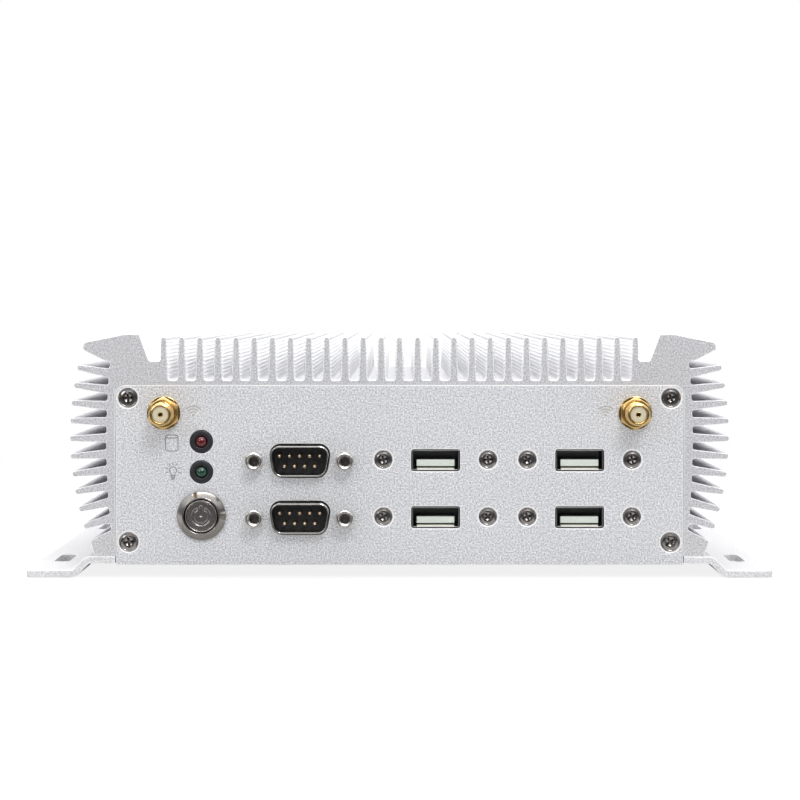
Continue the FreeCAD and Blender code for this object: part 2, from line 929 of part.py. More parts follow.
def make_bracket(label, side):
    """Folded strip: an upper flange under the housing's foot, a slope and a slotted flange."""
    body = new_body(label, 0, front_face, 0)
    thick = S.bracket_thick
    drop = S.base_height - thick
    lean = float(thick) * math.tan(math.radians(22.5))
    bend = float(bracket_bend_half)
    land = bend + float(drop)
    inside = float(S.bracket_bend_inside)
    outside = inside + float(thick)
    section = [
        (bracket_inner_half, drop, 0),
        (bend - lean / 2, drop, inside),
        (land - lean / 2, 0, outside),
        (bracket_half, 0, 0),
        (bracket_half, thick, 0),
        (land + lean / 2, thick, inside),
        (bend + lean / 2, S.base_height, outside),
        (bracket_inner_half, S.base_height, 0),
    ]
    sketch = new_sketch(body, "XZ")
    rounded(sketch, [(side * float(x), z, radius) for x, z, radius in section])
    blank = pad(body, sketch, S.body_depth, False)
    outer = [
        f"Edge{i + 1}"
        for i, edge in enumerate(body.Shape.Edges)
        if edge.BoundBox.ZLength > float(thick) / 2
        and abs(edge.CenterOfMass.x) > float(bracket_half - S.bracket_bend_inside)
    ]
    corners = body.newObject("PartDesign::Fillet", f"{label}_corners")
    corners.Base = (blank, outer)
    bind(corners, "Radius", S.bracket_corner)
    doc.recompute()

    slots = new_sketch(body, "XY")
    reach = S.slot_reach / 2
    for middle in (S.slot_inset, S.body_depth - S.slot_inset):
        left = side * slot_half - S.slot_width / 2
        right = side * slot_half + S.slot_width / 2
        end = S.slot_width / 2 - S.slot_end_flat
        rounded_rectangle(slots, left, right, middle - reach, middle + reach, end)
    pocket(body, slots, thick, True)

    spots = [
        (side * bracket_screw_half, depth)
        for depth in (S.bracket_screw_inset, S.body_depth - S.bracket_screw_inset)
    ]
    holes = new_sketch(body, "XY", cover_under)
    for x, y in spots:
        circle(holes, x, y, clear_hole)
    pocket(body, holes, thick, True)
    countersink(body, head_hole, [(x, y, cover_under) for x, y in spots], UP)
    return body


def make_screws():
    """Every countersunk screw of the case: each set is one node of equal solids."""
    for label, face, direction in (
        ("front_panel_screws", front_face, INWARD),
        ("rear_panel_screws", rear_face, OUTWARD),
    ):
        spots = [point(x, face, z) for x, z in corner_spots()]
        group(label, [flat_head_screw(S.screw_head, S.screw_reach, spot, direction) for spot in spots])

    for label, half, inset in (
        ("bottom_cover_screws", cover_screw_half, S.cover_screw_inset),
        ("bracket_screws", bracket_screw_half, S.bracket_screw_inset),
    ):
        spots = [
            point(side * half, front_face + depth, cover_under)
            for side in (-1, 1)
            for depth in (inset, S.body_depth - inset)
        ]
        group(label, [flat_head_screw(S.screw_head, S.short_screw_reach, spot, UP) for spot in spots])

    spots = [point(x, front_face, z) for x, z in usb_screw_spots()]
    reach = S.panel_thick + S.usb_mount_thick - S.usb_screw_end_gap
    group("usb_panel_screws", [flat_head_screw(S.usb_screw_head, reach, spot, INWARD) for spot in spots])


# ---------------------------------------------------------------- antenna jacks


def make_antenna(side):
    """Threaded coaxial jack clamped through the panel, with its insulator inside."""
    x, z = ANTENNA_PLACES[side]
    barrel = S.antenna_barrel / 2
    bore = S.antenna_bore / 2
    back = S.panel_thick + S.antenna_body_reach
    floor = back - S.antenna_end_wall
    tail = S.antenna_tail_width / 2
    tip = -S.front_reach
    bevel = S.antenna_bevel
    outline = [
        (bore, tip),
        (barrel - bevel, tip),
        (barrel, tip + bevel),
        (barrel, S.panel_thick),
        (S.antenna_body / 2, S.panel_thick),
        (S.antenna_body / 2, back),
        (tail, back),
        (tail, back + S.antenna_tail),
        (0, back + S.antenna_tail),
        (0, floor),
        (bore, floor),
    ]
    turned(f"antenna_jack_{side}", outline, x, front_face, z)
    face = tip + S.antenna_recess
    hole = S.antenna_contact / 2 + S.thread_play
    outer = bore - S.thread_play
    insulator = [(hole, face), (outer, face), (outer, floor), (hole, floor)]
    turned(f"antenna_insulator_{side}", insulator, x, front_face, z)


def make_antenna_hardware():
    """Centre contacts, hexagon nuts and washers of both jacks, each pair as one node."""
    contacts = []
    nuts = []
    washers = []
    face = float(front_face)
    thick = float(S.antenna_washer_thick)
    floor = face + float(S.panel_thick + S.antenna_body_reach - S.antenna_end_wall)
    bore = S.antenna_barrel + S.thread_play * 2
    for x, z in ANTENNA_PLACES.values():
        mouth = point(x, face - float(S.front_reach - S.antenna_recess), z)
        length = floor - mouth.y
        rod = cylinder(S.antenna_contact, length, mouth, INWARD)
        contacts.append(rod.cut(cylinder(S.antenna_socket, S.antenna_socket_deep, mouth, INWARD)))
        seat = point(x, face, z)
        ring = cylinder(S.antenna_washer, thick, seat, OUTWARD)
        washers.append(ring.cut(cylinder(bore, thick, seat, OUTWARD)))
        nuts.append(hexagon_nut(bore, seat + OUTWARD * thick))
    group("antenna_contacts", contacts)
    group("antenna_washers", washers)
    group("antenna_nuts", nuts)


def hexagon_prism(flats, length, seat, direction):
    """A hexagonal bar standing on seat along Y, two of its flats upright."""
    reach = float(flats) / math.sqrt(3)
    corners = [
        seat + Vector(math.sin(math.radians(60 * i)), 0, math.cos(math.radians(60 * i))) * reach
        for i in range(7)
    ]
    return Part.Face(Part.makePolygon(corners)).extrude(direction * float(length))


def hexagon_nut(bore, seat):
    """An antenna nut standing out from seat towards the front, bevelled at its outer corners."""
    thick = float(S.antenna_nut_thick)
    reach = float(S.antenna_nut_flats) / math.sqrt(3)
    blank = hexagon_prism(S.antenna_nut_flats, thick, seat, OUTWARD)
    slope = Part.makeCone(reach + thick, float(S.antenna_nut_face) / 2, thick, seat, OUTWARD)
    return blank.common(slope).cut(cylinder(bore, thick, seat, OUTWARD))


# ---------------------------------------------------------------- lamps and power button


def make_lamp(name):
    """Black push-in holder with a domed light-emitting diode held by its rim."""
    x, z = LAMP_PLACES[name]
    outer = S.lamp_holder / 2
    bore = S.lamp_bore / 2
    rim_bore = S.lamp_flange / 2 + S.thread_play
    rim_seat = S.lamp_flange_seat
    lip = -S.lamp_holder_lip
    outline = [
        (bore, lip),
        (outer - S.lamp_holder_bevel, lip),
        (outer, lip + S.lamp_holder_bevel),
        (outer, S.lamp_holder_deep),
        (rim_bore, S.lamp_holder_deep),
        (rim_bore, rim_seat),
        (bore, rim_seat),
    ]
    turned(f"lamp_holder_{name}", outline, x, front_face, z)
    dome = S.lamp_dome / 2
    flange = S.lamp_flange / 2
    flange_back = rim_seat + S.lamp_flange_thick
    back = rim_seat + S.lamp_body_deep
    crown = S.lamp_dome_flat / 2
    lens = [
        (0, lip - S.lamp_proud, 0),
        (crown, lip - S.lamp_proud, crown),
        (dome, lip + S.lamp_proud / 2, crown),
        (dome, rim_seat, 0),
        (flange, rim_seat, 0),
        (flange, flange_back, 0),
        (dome, flange_back, 0),
        (dome, back, 0),
        (0, back, 0),
    ]
    turned(f"lamp_{name}", lens, x, front_face, z, rounded)


def make_power_button():
    """Metal push button: bevelled bezel and barrel, sliding cap, nut and contact block."""
    x = -button_place
    z = button_height
    bezel = S.button_bezel / 2
    barrel = S.button_barrel / 2
    bore = S.button_bore / 2
    front = -S.button_bezel_reach
    face = front + S.button_cap_sunk
    shoulder = face + S.button_cap_thick
    stem_end = shoulder + S.button_stem_long
    floor = stem_end + S.button_travel + S.button_floor_gap
    outline = [
        (bore, front),
        (S.button_bezel_land / 2, front),
        (bezel, -S.button_rim),
        (bezel, 0),
        (barrel, 0),
        (barrel, S.button_barrel_deep),
        (0, S.button_barrel_deep),
        (0, floor),
        (bore, floor),
    ]
    turned("power_button_bezel", outline, x, front_face, z)

    edge = S.button_cap_bevel
    cap = [
        (0, face),
        (S.button_cap / 2 - edge, face),
        (S.button_cap / 2, face + edge),
        (S.button_cap / 2, shoulder),
        (S.button_stem / 2, shoulder),
        (S.button_stem / 2, stem_end),
        (0, stem_end),
    ]
    turned("power_button_cap", cap, x, front_face, z)

    seat = point(x, panel_back, z)
    nut = hexagon_prism(S.button_nut_flats, S.button_nut_thick, seat, INWARD)
    nut = nut.cut(cylinder(S.button_barrel + S.thread_play * 2, S.button_nut_thick, seat, INWARD))
    group("power_button_nut", [nut])
    back = front_face + S.button_barrel_deep
    half = S.button_block / 2
    deep = S.button_block_deep
    block("power_button_contact_block", x - half, x + half, back, back + deep, z - half, z + half)


# ---------------------------------------------------------------- serial ports


def jackscrew(seat, direction):
    """A hexagonal stand-off nut with a threaded mouth and its own threaded shank."""
    reach = float(S.jackscrew_reach)
    face = float(S.jackscrew_face) / 2
    blank = hexagon_prism(S.jackscrew_flats, reach, seat, direction)
    blank = blank.common(Part.makeCone(face + reach, face, reach, seat, direction))
    mouth = seat + direction * reach
    funnel = float(S.jackscrew_mouth - S.jackscrew_bore) / 2
    bore = float(S.jackscrew_bore) / 2
    cut = cylinder(S.jackscrew_bore, S.jackscrew_bore_deep, mouth, direction * -1)
    cut = cut.fuse(Part.makeCone(bore + funnel, bore, funnel, mouth, direction * -1))
    inward = S.panel_thick + S.serial_flange_thick + S.jackscrew_tail
    return blank.cut(cut).fuse(cylinder(S.jackscrew_shank, inward, seat, direction * -1))


def make_shell(label, x, z, face, reach, outward):
    """Drawn metal shell of a nine-way port with its flange behind the panel."""
    body = new_body(label, 0, face, 0)
    sign = 1 if outward else -1
    inner = -S.serial_wall
    behind = S.panel_thick + S.serial_flange_thick
    flange = new_sketch(body, "XZ", -sign * S.panel_thick)
    wide = S.serial_flange_wide / 2
    tall = S.serial_flange_tall / 2
    rectangle(flange, x - wide, x + wide, z - tall, z + tall)
    rounded(flange, serial_outline(x, z, inner))
    for side in (-1, 1):
        circle(flange, x + side * S.jackscrew_spacing / 2, z, clear_hole)
    pad(body, flange, S.serial_flange_thick, outward)
    wall = new_sketch(body, "XZ", sign * reach)
    rounded(wall, serial_outline(x, z, 0))
    rounded(wall, serial_outline(x, z, inner))
    pad(body, wall, reach + behind, outward)
    return body


def pin_places(x, z, rows):
    """Middle of each contact: rows are the counts of contacts from the top row down."""
    places = []
    for row, count in enumerate(rows):
        height = z + S.serial_row_pitch * ((len(rows) - 1) / 2 - row)
        for number in range(count):
            places.append((x + S.serial_pin_pitch * (number - (count - 1) / 2), height))
    return places


def make_insulator(label, x, z, face, sunk, outward, places, diameter):
    """Moulded insert that fills a shell from sunk behind the panel's face, with contact holes."""
    body = new_body(label, 0, face, 0)
    sign = 1 if outward else -1
    length = S.panel_thick + S.serial_flange_thick + S.serial_block_deep - sunk
    insert = new_sketch(body, "XZ", -sign * sunk)
    rounded(insert, serial_outline(x, z, -S.serial_wall - S.thread_play))
    for across, height in places:
        circle(insert, across, height, diameter)
    pad(body, insert, length, outward)
    return body


def make_serial_ports():
    for name, (x, z) in SERIAL_PLACES.items():
        make_shell(f"serial_shell_{name}", x, z, front_face, S.serial_reach, False)
        places = pin_places(x, z, (5, 4))
        sunk = S.serial_face_sunk - S.serial_reach
        hole = S.serial_pin + S.thread_play * 2
        make_insulator(f"serial_insulator_{name}", x, z, front_face, sunk, False, places, hole)
        tip = front_face - S.serial_reach + S.serial_pin_short
        back = panel_back + S.serial_flange_thick + S.serial_block_deep + S.serial_tail
        pins = [
            cylinder(S.serial_pin, back - tip, point(across, tip, height), INWARD)
            for across, height in places
        ]
        group(f"serial_pins_{name}", pins)

    screws = []
    for x, z in SERIAL_PLACES.values():
        for side in (-1, 1):
            screws.append(jackscrew(point(x + side * S.jackscrew_spacing / 2, front_face, z), OUTWARD))
    for side in (-1, 1):
        across = S.display_place + side * S.jackscrew_spacing / 2
        screws.append(jackscrew(point(across, rear_face, display_height), INWARD))
    group("jackscrews", screws)


# ---------------------------------------------------------------- front USB sockets


def make_usb(number, x, z):
    """Folded metal sleeve and the moulded insert that carries the contact tongue."""
    body = new_body(f"usb_shell_{number}", 0, front_face, 0)
    wide = S.usb_wide / 2
    tall = S.usb_tall / 2
    wall = S.usb_wall
    sleeve = new_sketch(body, "XZ", S.usb_sunk)
    rounded_rectangle(sleeve, x - wide, x + wide, z - tall, z + tall, S.usb_corner)
    inner_wide = wide - wall
    inner_tall = tall - wall
    inner = S.usb_corner - wall
    rounded_rectangle(
        sleeve, x - inner_wide, x + inner_wide, z - inner_tall, z + inner_tall, inner
    )
    pad(body, sleeve, S.usb_deep, False)

    insert = new_body(f"usb_insulator_{number}", 0, front_face, 0)
    plug_wide = inner_wide - S.thread_play
    plug_tall = inner_tall - S.thread_play
    back = new_sketch(insert, "XZ", S.usb_sunk + S.usb_deep - S.usb_back_deep)
    rounded_rectangle(back, x - plug_wide, x + plug_wide, z - plug_tall, z + plug_tall, inner)
    pad(insert, back, S.usb_back_deep, False)
    tongue = new_sketch(insert, "XZ", S.usb_sunk + S.usb_tongue_sunk)
    middle = z - S.usb_tongue_drop
    half = S.usb_tongue_wide / 2
    thick = S.usb_tongue_thick / 2
    rectangle(tongue, x - half, x + half, middle - thick, middle + thick)
    pad(insert, tongue, S.usb_deep - S.usb_back_deep - S.usb_tongue_sunk, False)


def make_usb_ports():
    mounts = []
    face = panel_back
    thick = S.usb_mount_thick
    for number, (x, z) in enumerate(USB_PLACES, 1):
        make_usb(number, x, z)
        corner = point(x - S.usb_mount_wide / 2, face, z - S.usb_mount_tall / 2)
        plate = Part.makeBox(
            float(S.usb_mount_wide), float(thick), float(S.usb_mount_tall), corner
        )
        wide = S.usb_wide + S.thread_play * 2
        tall = S.usb_tall + S.thread_play * 2
        window = Part.makeBox(
            float(wide), float(thick), float(tall), point(x - wide / 2, face, z - tall / 2)
        )
        holes = [
            cylinder(
                thread_hole,
                thick,
                point(x + side * S.usb_screw_spacing / 2, face, z + S.usb_screw_rise),
                INWARD,
            )
            for side in (-1, 1)
        ]
        mounts.append(plate.cut([window] + holes))
    group("usb_mounts", mounts)


# ---------------------------------------------------------------- main board and what it carries

board_rear = rear_panel_inside - S.board_rear_gap
board_front = board_rear - S.board_deep
board_middle = board_rear - S.board_deep / 2


def board_holes():
    """The four fixing holes of the board, with the standoffs under them."""
    across = board_wide / 2 - S.board_hole_inset
    spots = []
    for side in (-1, 1):
        for along in (board_front + S.board_hole_inset, board_rear - S.board_hole_inset):
            spots.append((side * across, along))
    return spots


def make_board():
    body = new_body("main_board")
    plate = new_sketch(body, "XY", board_level)
    rectangle(plate, -board_wide / 2, board_wide / 2, board_front, board_rear)
    for x, y in board_holes():
        circle(plate, x, y, clear_hole)
    pad(body, plate, S.board_thick, True)

    standoffs = []
    screws = []
    height = float(board_level - S.base_height)
    reach = float(S.standoff_width) / math.sqrt(3)
    for x, y in board_holes():
        seat = point(x, y, S.base_height)
        corners = [
            seat + Vector(math.cos(math.radians(60 * i)), math.sin(math.radians(60 * i)), 0) * reach
            for i in range(7)
        ]
        post = Part.Face(Part.makePolygon(corners)).extrude(UP * height)
        standoffs.append(post.cut(cylinder(thread_hole, height, seat, UP)))
        top = point(x, y, board_top)
        screws.append(cheese_head_screw(top, DOWN))
    group("board_standoffs", standoffs)
    group("board_screws", screws)


def make_processor():
    """Processor, thermal pad and the aluminium block that carries its heat to the housing."""
    half = S.processor_side / 2
    front = board_middle - S.processor_forward
    top = board_top + S.processor_tall
    pad_top = top + S.pad_tall
    block("processor", -half, half, front - half, front + half, board_top, top)
    block("thermal_pad", -half, half, front - half, front + half, top, pad_top)
    side = S.block_side / 2
    block("heat_block", -side, side, front - side, front + side, pad_top, ceiling_under)


def make_memory():
    """Laptop-size memory module lying in its edge socket."""
    left = S.memory_place - S.memory_deep / 2
    right = S.memory_place + S.memory_deep / 2
    front = board_front + S.memory_forward
    back = front + S.memory_wide
    low = board_top + S.memory_lift
    high = low + S.memory_thick
    block("memory_module", left, right, front, back, low, high)
    body = new_body("memory_socket")
    over = (S.memory_socket_wide - S.memory_wide) / 2
    section = new_sketch(body, "XZ", front - over)
    mouth = right - S.memory_groove_deep
    play = S.thread_play
    polygon(
        section,
        [
            (mouth, board_top),
            (mouth + S.memory_socket_deep, board_top),
            (mouth + S.memory_socket_deep, board_top + S.memory_socket_tall),
            (mouth, board_top + S.memory_socket_tall),
            (mouth, high + play),
            (right + play, high + play),
            (right + play, low - play),
            (mouth, low - play),
        ],
    )
    pad(body, section, S.memory_socket_wide, False)


def make_wireless_card():
    """Small radio card with a shielding can, held in its edge socket."""
    half = S.card_wide / 2
    front = board_front + S.memory_forward
    back = front + S.card_deep
    low = board_top + S.card_lift
    high = low + S.card_thick
    body = new_body("wireless_card")
    plate = new_sketch(body, "XY", low)
    rectangle(plate, -S.card_place - half, -S.card_place + half, front, back)
    pad(body, plate, S.card_thick, True)
    can = new_sketch(body, "XY", high)
    side = S.card_can / 2
    middle = front + S.card_deep / 2
    rectangle(can, -S.card_place - side, -S.card_place + side, middle - side, middle + side)
    pad(body, can, S.card_can_tall, True)

    socket = new_body("card_socket")
    section = new_sketch(socket, "YZ", -S.card_place - half)
    mouth = back - S.card_socket_deep / 2
    play = S.thread_play
    polygon(
        section,
        [
            (mouth, board_top),
            (mouth + S.card_socket_deep, board_top),
            (mouth + S.card_socket_deep, board_top + S.card_socket_tall),
            (mouth, board_top + S.card_socket_tall),
            (mouth, high + play),
            (back + play, high + play),
            (back + play, low - play),
            (mouth, low - play),
        ],
    )
    pad(socket, section, S.card_wide, True)


def make_drive():
    """Flat solid-state drive lying on the cover, held by four screws from below."""
    half = S.drive_wide / 2
    front = front_face + S.drive_forward
    body = new_body("storage_drive")
    plate = new_sketch(body, "XY", S.base_height)
    rectangle(plate, -half, half, front, front + S.drive_long)
    pad(body, plate, S.drive_tall, True)
    spots = []
    holes = new_sketch(body, "XY", S.base_height)
    for side in (-1, 1):
        for along in (0, S.drive_hole_span):
            across = side * (half - S.drive_hole_inset)
            spots.append((across, front + S.drive_hole_start + along))
            circle(holes, across, front + S.drive_hole_start + along, thread_hole)
    pocket(body, holes, S.drive_screw_deep, True)
    reach = S.cover_thick + S.drive_screw_deep - S.drive_screw_end_gap
    screws = [flat_head_screw(S.screw_head, reach, point(x, y, cover_under), UP) for x, y in spots]
    group("drive_screws", screws)


# ---------------------------------------------------------------- rear connectors


def rear_mouths():
    """Left, right, low and high of each rectangular connector at the back."""
    mouths = []
    for number in range(2):
        middle = S.lan_place + S.lan_pitch * number
        mouths.append((middle - S.lan_wide / 2, middle + S.lan_wide / 2, board_top, board_top + S.lan_tall))
    half = S.video_wide / 2
    mouths.append((S.video_place - half, S.video_place + half, board_top, board_top + S.video_tall))
    half = S.usb_wide / 2
    middle = S.rear_usb_place
    mouths.append((middle - half, middle + half, board_top, board_top + S.rear_usb_tall))
    return mouths


def box_between(left, right, front, back, low, high):
    size = (float(right) - float(left), float(back) - float(front), float(high) - float(low))
    return Part.makeBox(size[0], size[1], size[2], point(left, front, low))


def make_rear_connectors():
    """Network, video and USB sockets standing on the board, flush with the rear panel."""
    mouth_face = rear_face + S.rear_proud
    mouths = rear_mouths()
    jacks = []
    for left, right, low, high in mouths[:2]:
        front = mouth_face - S.lan_deep
        middle = (left + right) / 2
        half = S.lan_mouth_wide / 2
        shell = box_between(left, right, front, mouth_face, low, high)
        base = low + S.lan_mouth_rise
        top = base + S.lan_mouth_tall
        inside = mouth_face - S.lan_mouth_deep
        bay = box_between(middle - half, middle + half, inside, mouth_face, base, top)
        latch = box_between(
            middle - half / 2, middle + half / 2, inside, mouth_face, base - S.lan_latch_deep, base
        )
        jacks.append(shell.cut([bay, latch]))
    group("lan_jacks", jacks)

    wall = S.usb_wall
    left, right, low, high = mouths[2]
    front = mouth_face - S.video_deep
    shell = box_between(left, right, front, mouth_face, low, high)
    back = front + S.video_back_deep
    bay = box_between(left + wall, right - wall, back, mouth_face, low + wall, high - wall)
    half = S.video_tongue_wide / 2
    middle = (low + high) / 2 + S.video_tongue_thick / 2
    tongue = box_between(
        S.video_place - half,
        S.video_place + half,
        front,
        mouth_face - S.usb_tongue_sunk,
        middle,
        middle + S.video_tongue_thick,
    )
    group("video_socket", [shell.cut(bay).fuse(tongue)])

    left, right, low, high = mouths[3]
    front = mouth_face - S.rear_usb_deep
    shell = box_between(left, right, front, mouth_face, low, high)
    centre = (low + high) / 2
    half = S.usb_tongue_wide / 2
    thick = S.usb_tongue_thick
    for side in (-1, 1):
        height = centre + side * S.rear_usb_pitch / 2
        tall = S.usb_tall / 2
        bay = box_between(
            left + wall, right - wall, front + S.usb_back_deep, mouth_face, height - tall, height + tall
        )
        tongue = box_between(
            S.rear_usb_place - half,
            S.rear_usb_place + half,
            front,
            mouth_face - S.usb_tongue_sunk,
            height - S.usb_tongue_drop - thick / 2,
            height - S.usb_tongue_drop + thick / 2,
        )
        shell = shell.cut(bay).fuse(tongue)
    group("rear_usb_ports", [shell])

    x = S.display_place
    z = display_height
    make_shell("display_shell", x, z, rear_face, S.rear_reach, True)
    sunk = S.display_insert_sunk - S.rear_reach
    make_insulator("display_insulator", x, z, rear_face, sunk, True, [], S.serial_pin)


def make_supply_jack():
    """Round direct-current inlet with its centre pin, its flange outside the rear panel."""
    barrel = S.supply_barrel / 2
    bore = S.supply_bore / 2
    pin = S.supply_pin / 2
    face = S.supply_reach
    outline = [
        (bore, face),
        (S.supply_flange / 2, face),
        (S.supply_flange / 2, 0),
        (barrel, 0),
        (barrel, -S.supply_deep),
        (0, -S.supply_deep),
        (0, face - S.supply_pin_sunk),
        (pin, face - S.supply_pin_sunk),
        (pin, face - S.supply_bore_deep),
        (bore, face - S.supply_bore_deep),
    ]
    turned("supply_jack", outline, S.supply_place, rear_face, supply_height)


# ---------------------------------------------------------------- assembly

make_housing()
make_front_panel()
make_rear_panel()
make_cover()
make_bracket("mounting_bracket_left", -1)
make_bracket("mounting_bracket_right", 1)
make_screws()
for side in ANTENNA_PLACES:
    make_antenna(side)
make_antenna_hardware()
for name in LAMP_PLACES:
    make_lamp(name)
make_power_button()
make_serial_ports()
make_usb_ports()
make_board()
make_processor()
make_memory()
make_wireless_card()
make_drive()
make_rear_connectors()
make_supply_jack()
doc.recompute()

# ---------------------------------------------------------------- checks and export

for item in doc.Objects:
    if "Invalid" in item.State or "Error" in item.State:
        raise RuntimeError(f"{item.Name} failed to rebuild: {item.State}")
for piece in pieces:
    if piece.Shape.isNull() or not piece.Shape.isValid() or piece.Shape.Volume <= 0:
        raise RuntimeError(f"{piece.Label} has no valid solid")
for piece in pieces:
    piece.Shape.exportStep(f"parts/{piece.Label}.step")
print(f"{len(pieces)} nodes, body front at y = {float(front_face):.3f}")
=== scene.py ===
import math

import bmesh
import bpy
from mathutils import Euler, Matrix, Vector


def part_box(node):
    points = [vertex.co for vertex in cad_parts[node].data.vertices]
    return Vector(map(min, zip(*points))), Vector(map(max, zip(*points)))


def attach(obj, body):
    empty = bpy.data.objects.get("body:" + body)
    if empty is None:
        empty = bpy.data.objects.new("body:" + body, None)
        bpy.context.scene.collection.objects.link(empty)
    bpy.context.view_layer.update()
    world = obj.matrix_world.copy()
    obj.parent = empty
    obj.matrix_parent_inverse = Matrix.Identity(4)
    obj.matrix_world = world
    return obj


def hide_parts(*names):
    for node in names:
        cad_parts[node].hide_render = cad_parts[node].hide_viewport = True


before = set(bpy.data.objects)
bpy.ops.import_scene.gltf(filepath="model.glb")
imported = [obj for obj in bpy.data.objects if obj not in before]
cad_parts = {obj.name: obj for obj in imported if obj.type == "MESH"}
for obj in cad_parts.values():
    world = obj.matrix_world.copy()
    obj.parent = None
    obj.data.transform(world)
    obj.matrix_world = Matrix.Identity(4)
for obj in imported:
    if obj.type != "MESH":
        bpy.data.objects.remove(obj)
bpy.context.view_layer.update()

MM = 0.001
OUT = Vector((0, -1, 0))
BACK = Vector((0, 1, 0))
DOWN = Vector((0, 0, -1))

# ---------------------------------------------------------------- stage, light and camera
# A plain white sweep under a wide soft box, with a low light behind and two smaller ones in front.
# The room behind the camera is darker than the sweep, which draws the edges of polished metal.

scene = bpy.context.scene
scene.view_settings.view_transform = "Standard"

front_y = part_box("front_panel")[0][1]
rear_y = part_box("rear_panel")[1][1]

FRONT_DISTANCE = 600 * MM
CAMERA_HEIGHT = 75.4 * MM
CAMERA_SIDE = 1.2 * MM
CAMERA_LENS = 98.0
CAMERA_TILT = math.radians(87.5)
CAMERA_TURN = math.radians(0.1)


def new_node(tree, kind, **settings):
    """Adds a node and sets its properties."""
    node = tree.nodes.new(kind)
    for name, value in settings.items():
        setattr(node, name, value)
    return node


def ramp_node(tree, source, stops):
    """A colour ramp from source; stops are (position, red, green, blue)."""
    ramp = new_node(tree, "ShaderNodeValToRGB")
    elements = ramp.color_ramp.elements
    while len(elements) < len(stops):
        elements.new(1.0)
    for element, (position, *colour) in zip(elements, stops):
        element.position = position
        element.color = (*colour, 1)
    tree.links.new(source, ramp.inputs["Fac"])
    return ramp


def plug(tree, slot, value):
    """Links a socket to the slot, or sets the slot to a plain value."""
    if isinstance(value, bpy.types.NodeSocket):
        tree.links.new(value, slot)
    else:
        slot.default_value = value


def math_node(tree, operation, *values):
    """A math node whose inputs are sockets or plain numbers."""
    node = new_node(tree, "ShaderNodeMath", operation=operation)
    for slot, value in zip(node.inputs, values):
        plug(tree, slot, value)
    return node


def mix_colours(tree, share, first, second, **settings):
    """The mix of two colours; all three inputs are sockets or plain values."""
    mix = new_node(tree, "ShaderNodeMix", data_type="RGBA", **settings)
    for name, value in (("Factor", share), ("A", first), ("B", second)):
        plug(tree, mix.inputs[name], value)
    return mix.outputs["Result"]


def separated(tree, coords):
    """The X, Y and Z sockets of a vector."""
    split = new_node(tree, "ShaderNodeSeparateXYZ")
    tree.links.new(coords, split.inputs[0])
    return split.outputs


def mix_shaders(tree, share, first, second):
    mix = new_node(tree, "ShaderNodeMixShader")
    tree.links.new(share, mix.inputs["Fac"])
    tree.links.new(first, mix.inputs[1])
    tree.links.new(second, mix.inputs[2])
    return mix.outputs[0]


def make_world():
    """White behind and above the object; its reflections find a darker room on the open side."""
    world = bpy.data.worlds.new("studio")
    scene.world = world
    world.use_nodes = True
    tree = world.node_tree
    tree.nodes.clear()
    where = separated(tree, new_node(tree, "ShaderNodeTexCoord").outputs["Generated"])
    ahead = math_node(tree, "MULTIPLY_ADD", where["Y"], 0.5, 0.5)
    around = ramp_node(
        tree,
        ahead.outputs[0],
        [
            (0.00, 0.07, 0.07, 0.08),
            (0.10, 0.10, 0.10, 0.11),
            (0.30, 0.16, 0.16, 0.17),
            (0.50, 0.28, 0.28, 0.29),
            (0.72, 1.00, 1.00, 1.00),
        ],
    )
    above = ramp_node(tree, where["Z"], [(0.25, 0, 0, 0), (0.65, 1, 1, 1)]).outputs["Color"]
    room = new_node(tree, "ShaderNodeBackground")
    room.inputs["Strength"].default_value = 1.2
    room_colour = mix_colours(tree, above, around.outputs["Color"], (1, 1, 1, 1))
    tree.links.new(room_colour, room.inputs["Color"])
    white = new_node(tree, "ShaderNodeBackground")
    white.inputs["Color"].default_value = (1, 1, 1, 1)
    white.inputs["Strength"].default_value = 1.0
    seen = new_node(tree, "ShaderNodeLightPath").outputs["Is Camera Ray"]
    out = new_node(tree, "ShaderNodeOutputWorld")
    surface = mix_shaders(tree, seen, room.outputs[0], white.outputs[0])
    tree.links.new(surface, out.inputs["Surface"])


def area_light(name, place, target, width, height, power):
    """A rectangular soft box at place that faces target."""
    data = bpy.data.lights.new(name, "AREA")
    data.shape = "RECTANGLE"
    data.size = width
    data.size_y = height
    data.energy = power
    lamp = bpy.data.objects.new(name, data)
    scene.collection.objects.link(lamp)
    lamp.location = place
    aim = Vector(target) - Vector(place)
    lamp.rotation_euler = aim.to_track_quat("-Z", "Y").to_euler()


def floor_tone(tree):
    """White, but grey in reflections of the part ahead of the object, where the table ends."""
    where = separated(tree, new_node(tree, "ShaderNodeTexCoord").outputs["Object"])
    ahead = math_node(tree, "MULTIPLY_ADD", where["Y"], 1.0, 0.5)
    table = ramp_node(tree, ahead.outputs[0], [(0.34, 0.06, 0.06, 0.06), (0.43, 0.50, 0.49, 0.47)])
    glossy = new_node(tree, "ShaderNodeLightPath").outputs["Is Glossy Ray"]
    return mix_colours(tree, glossy, (0.86, 0.86, 0.87, 1), table.outputs["Color"])


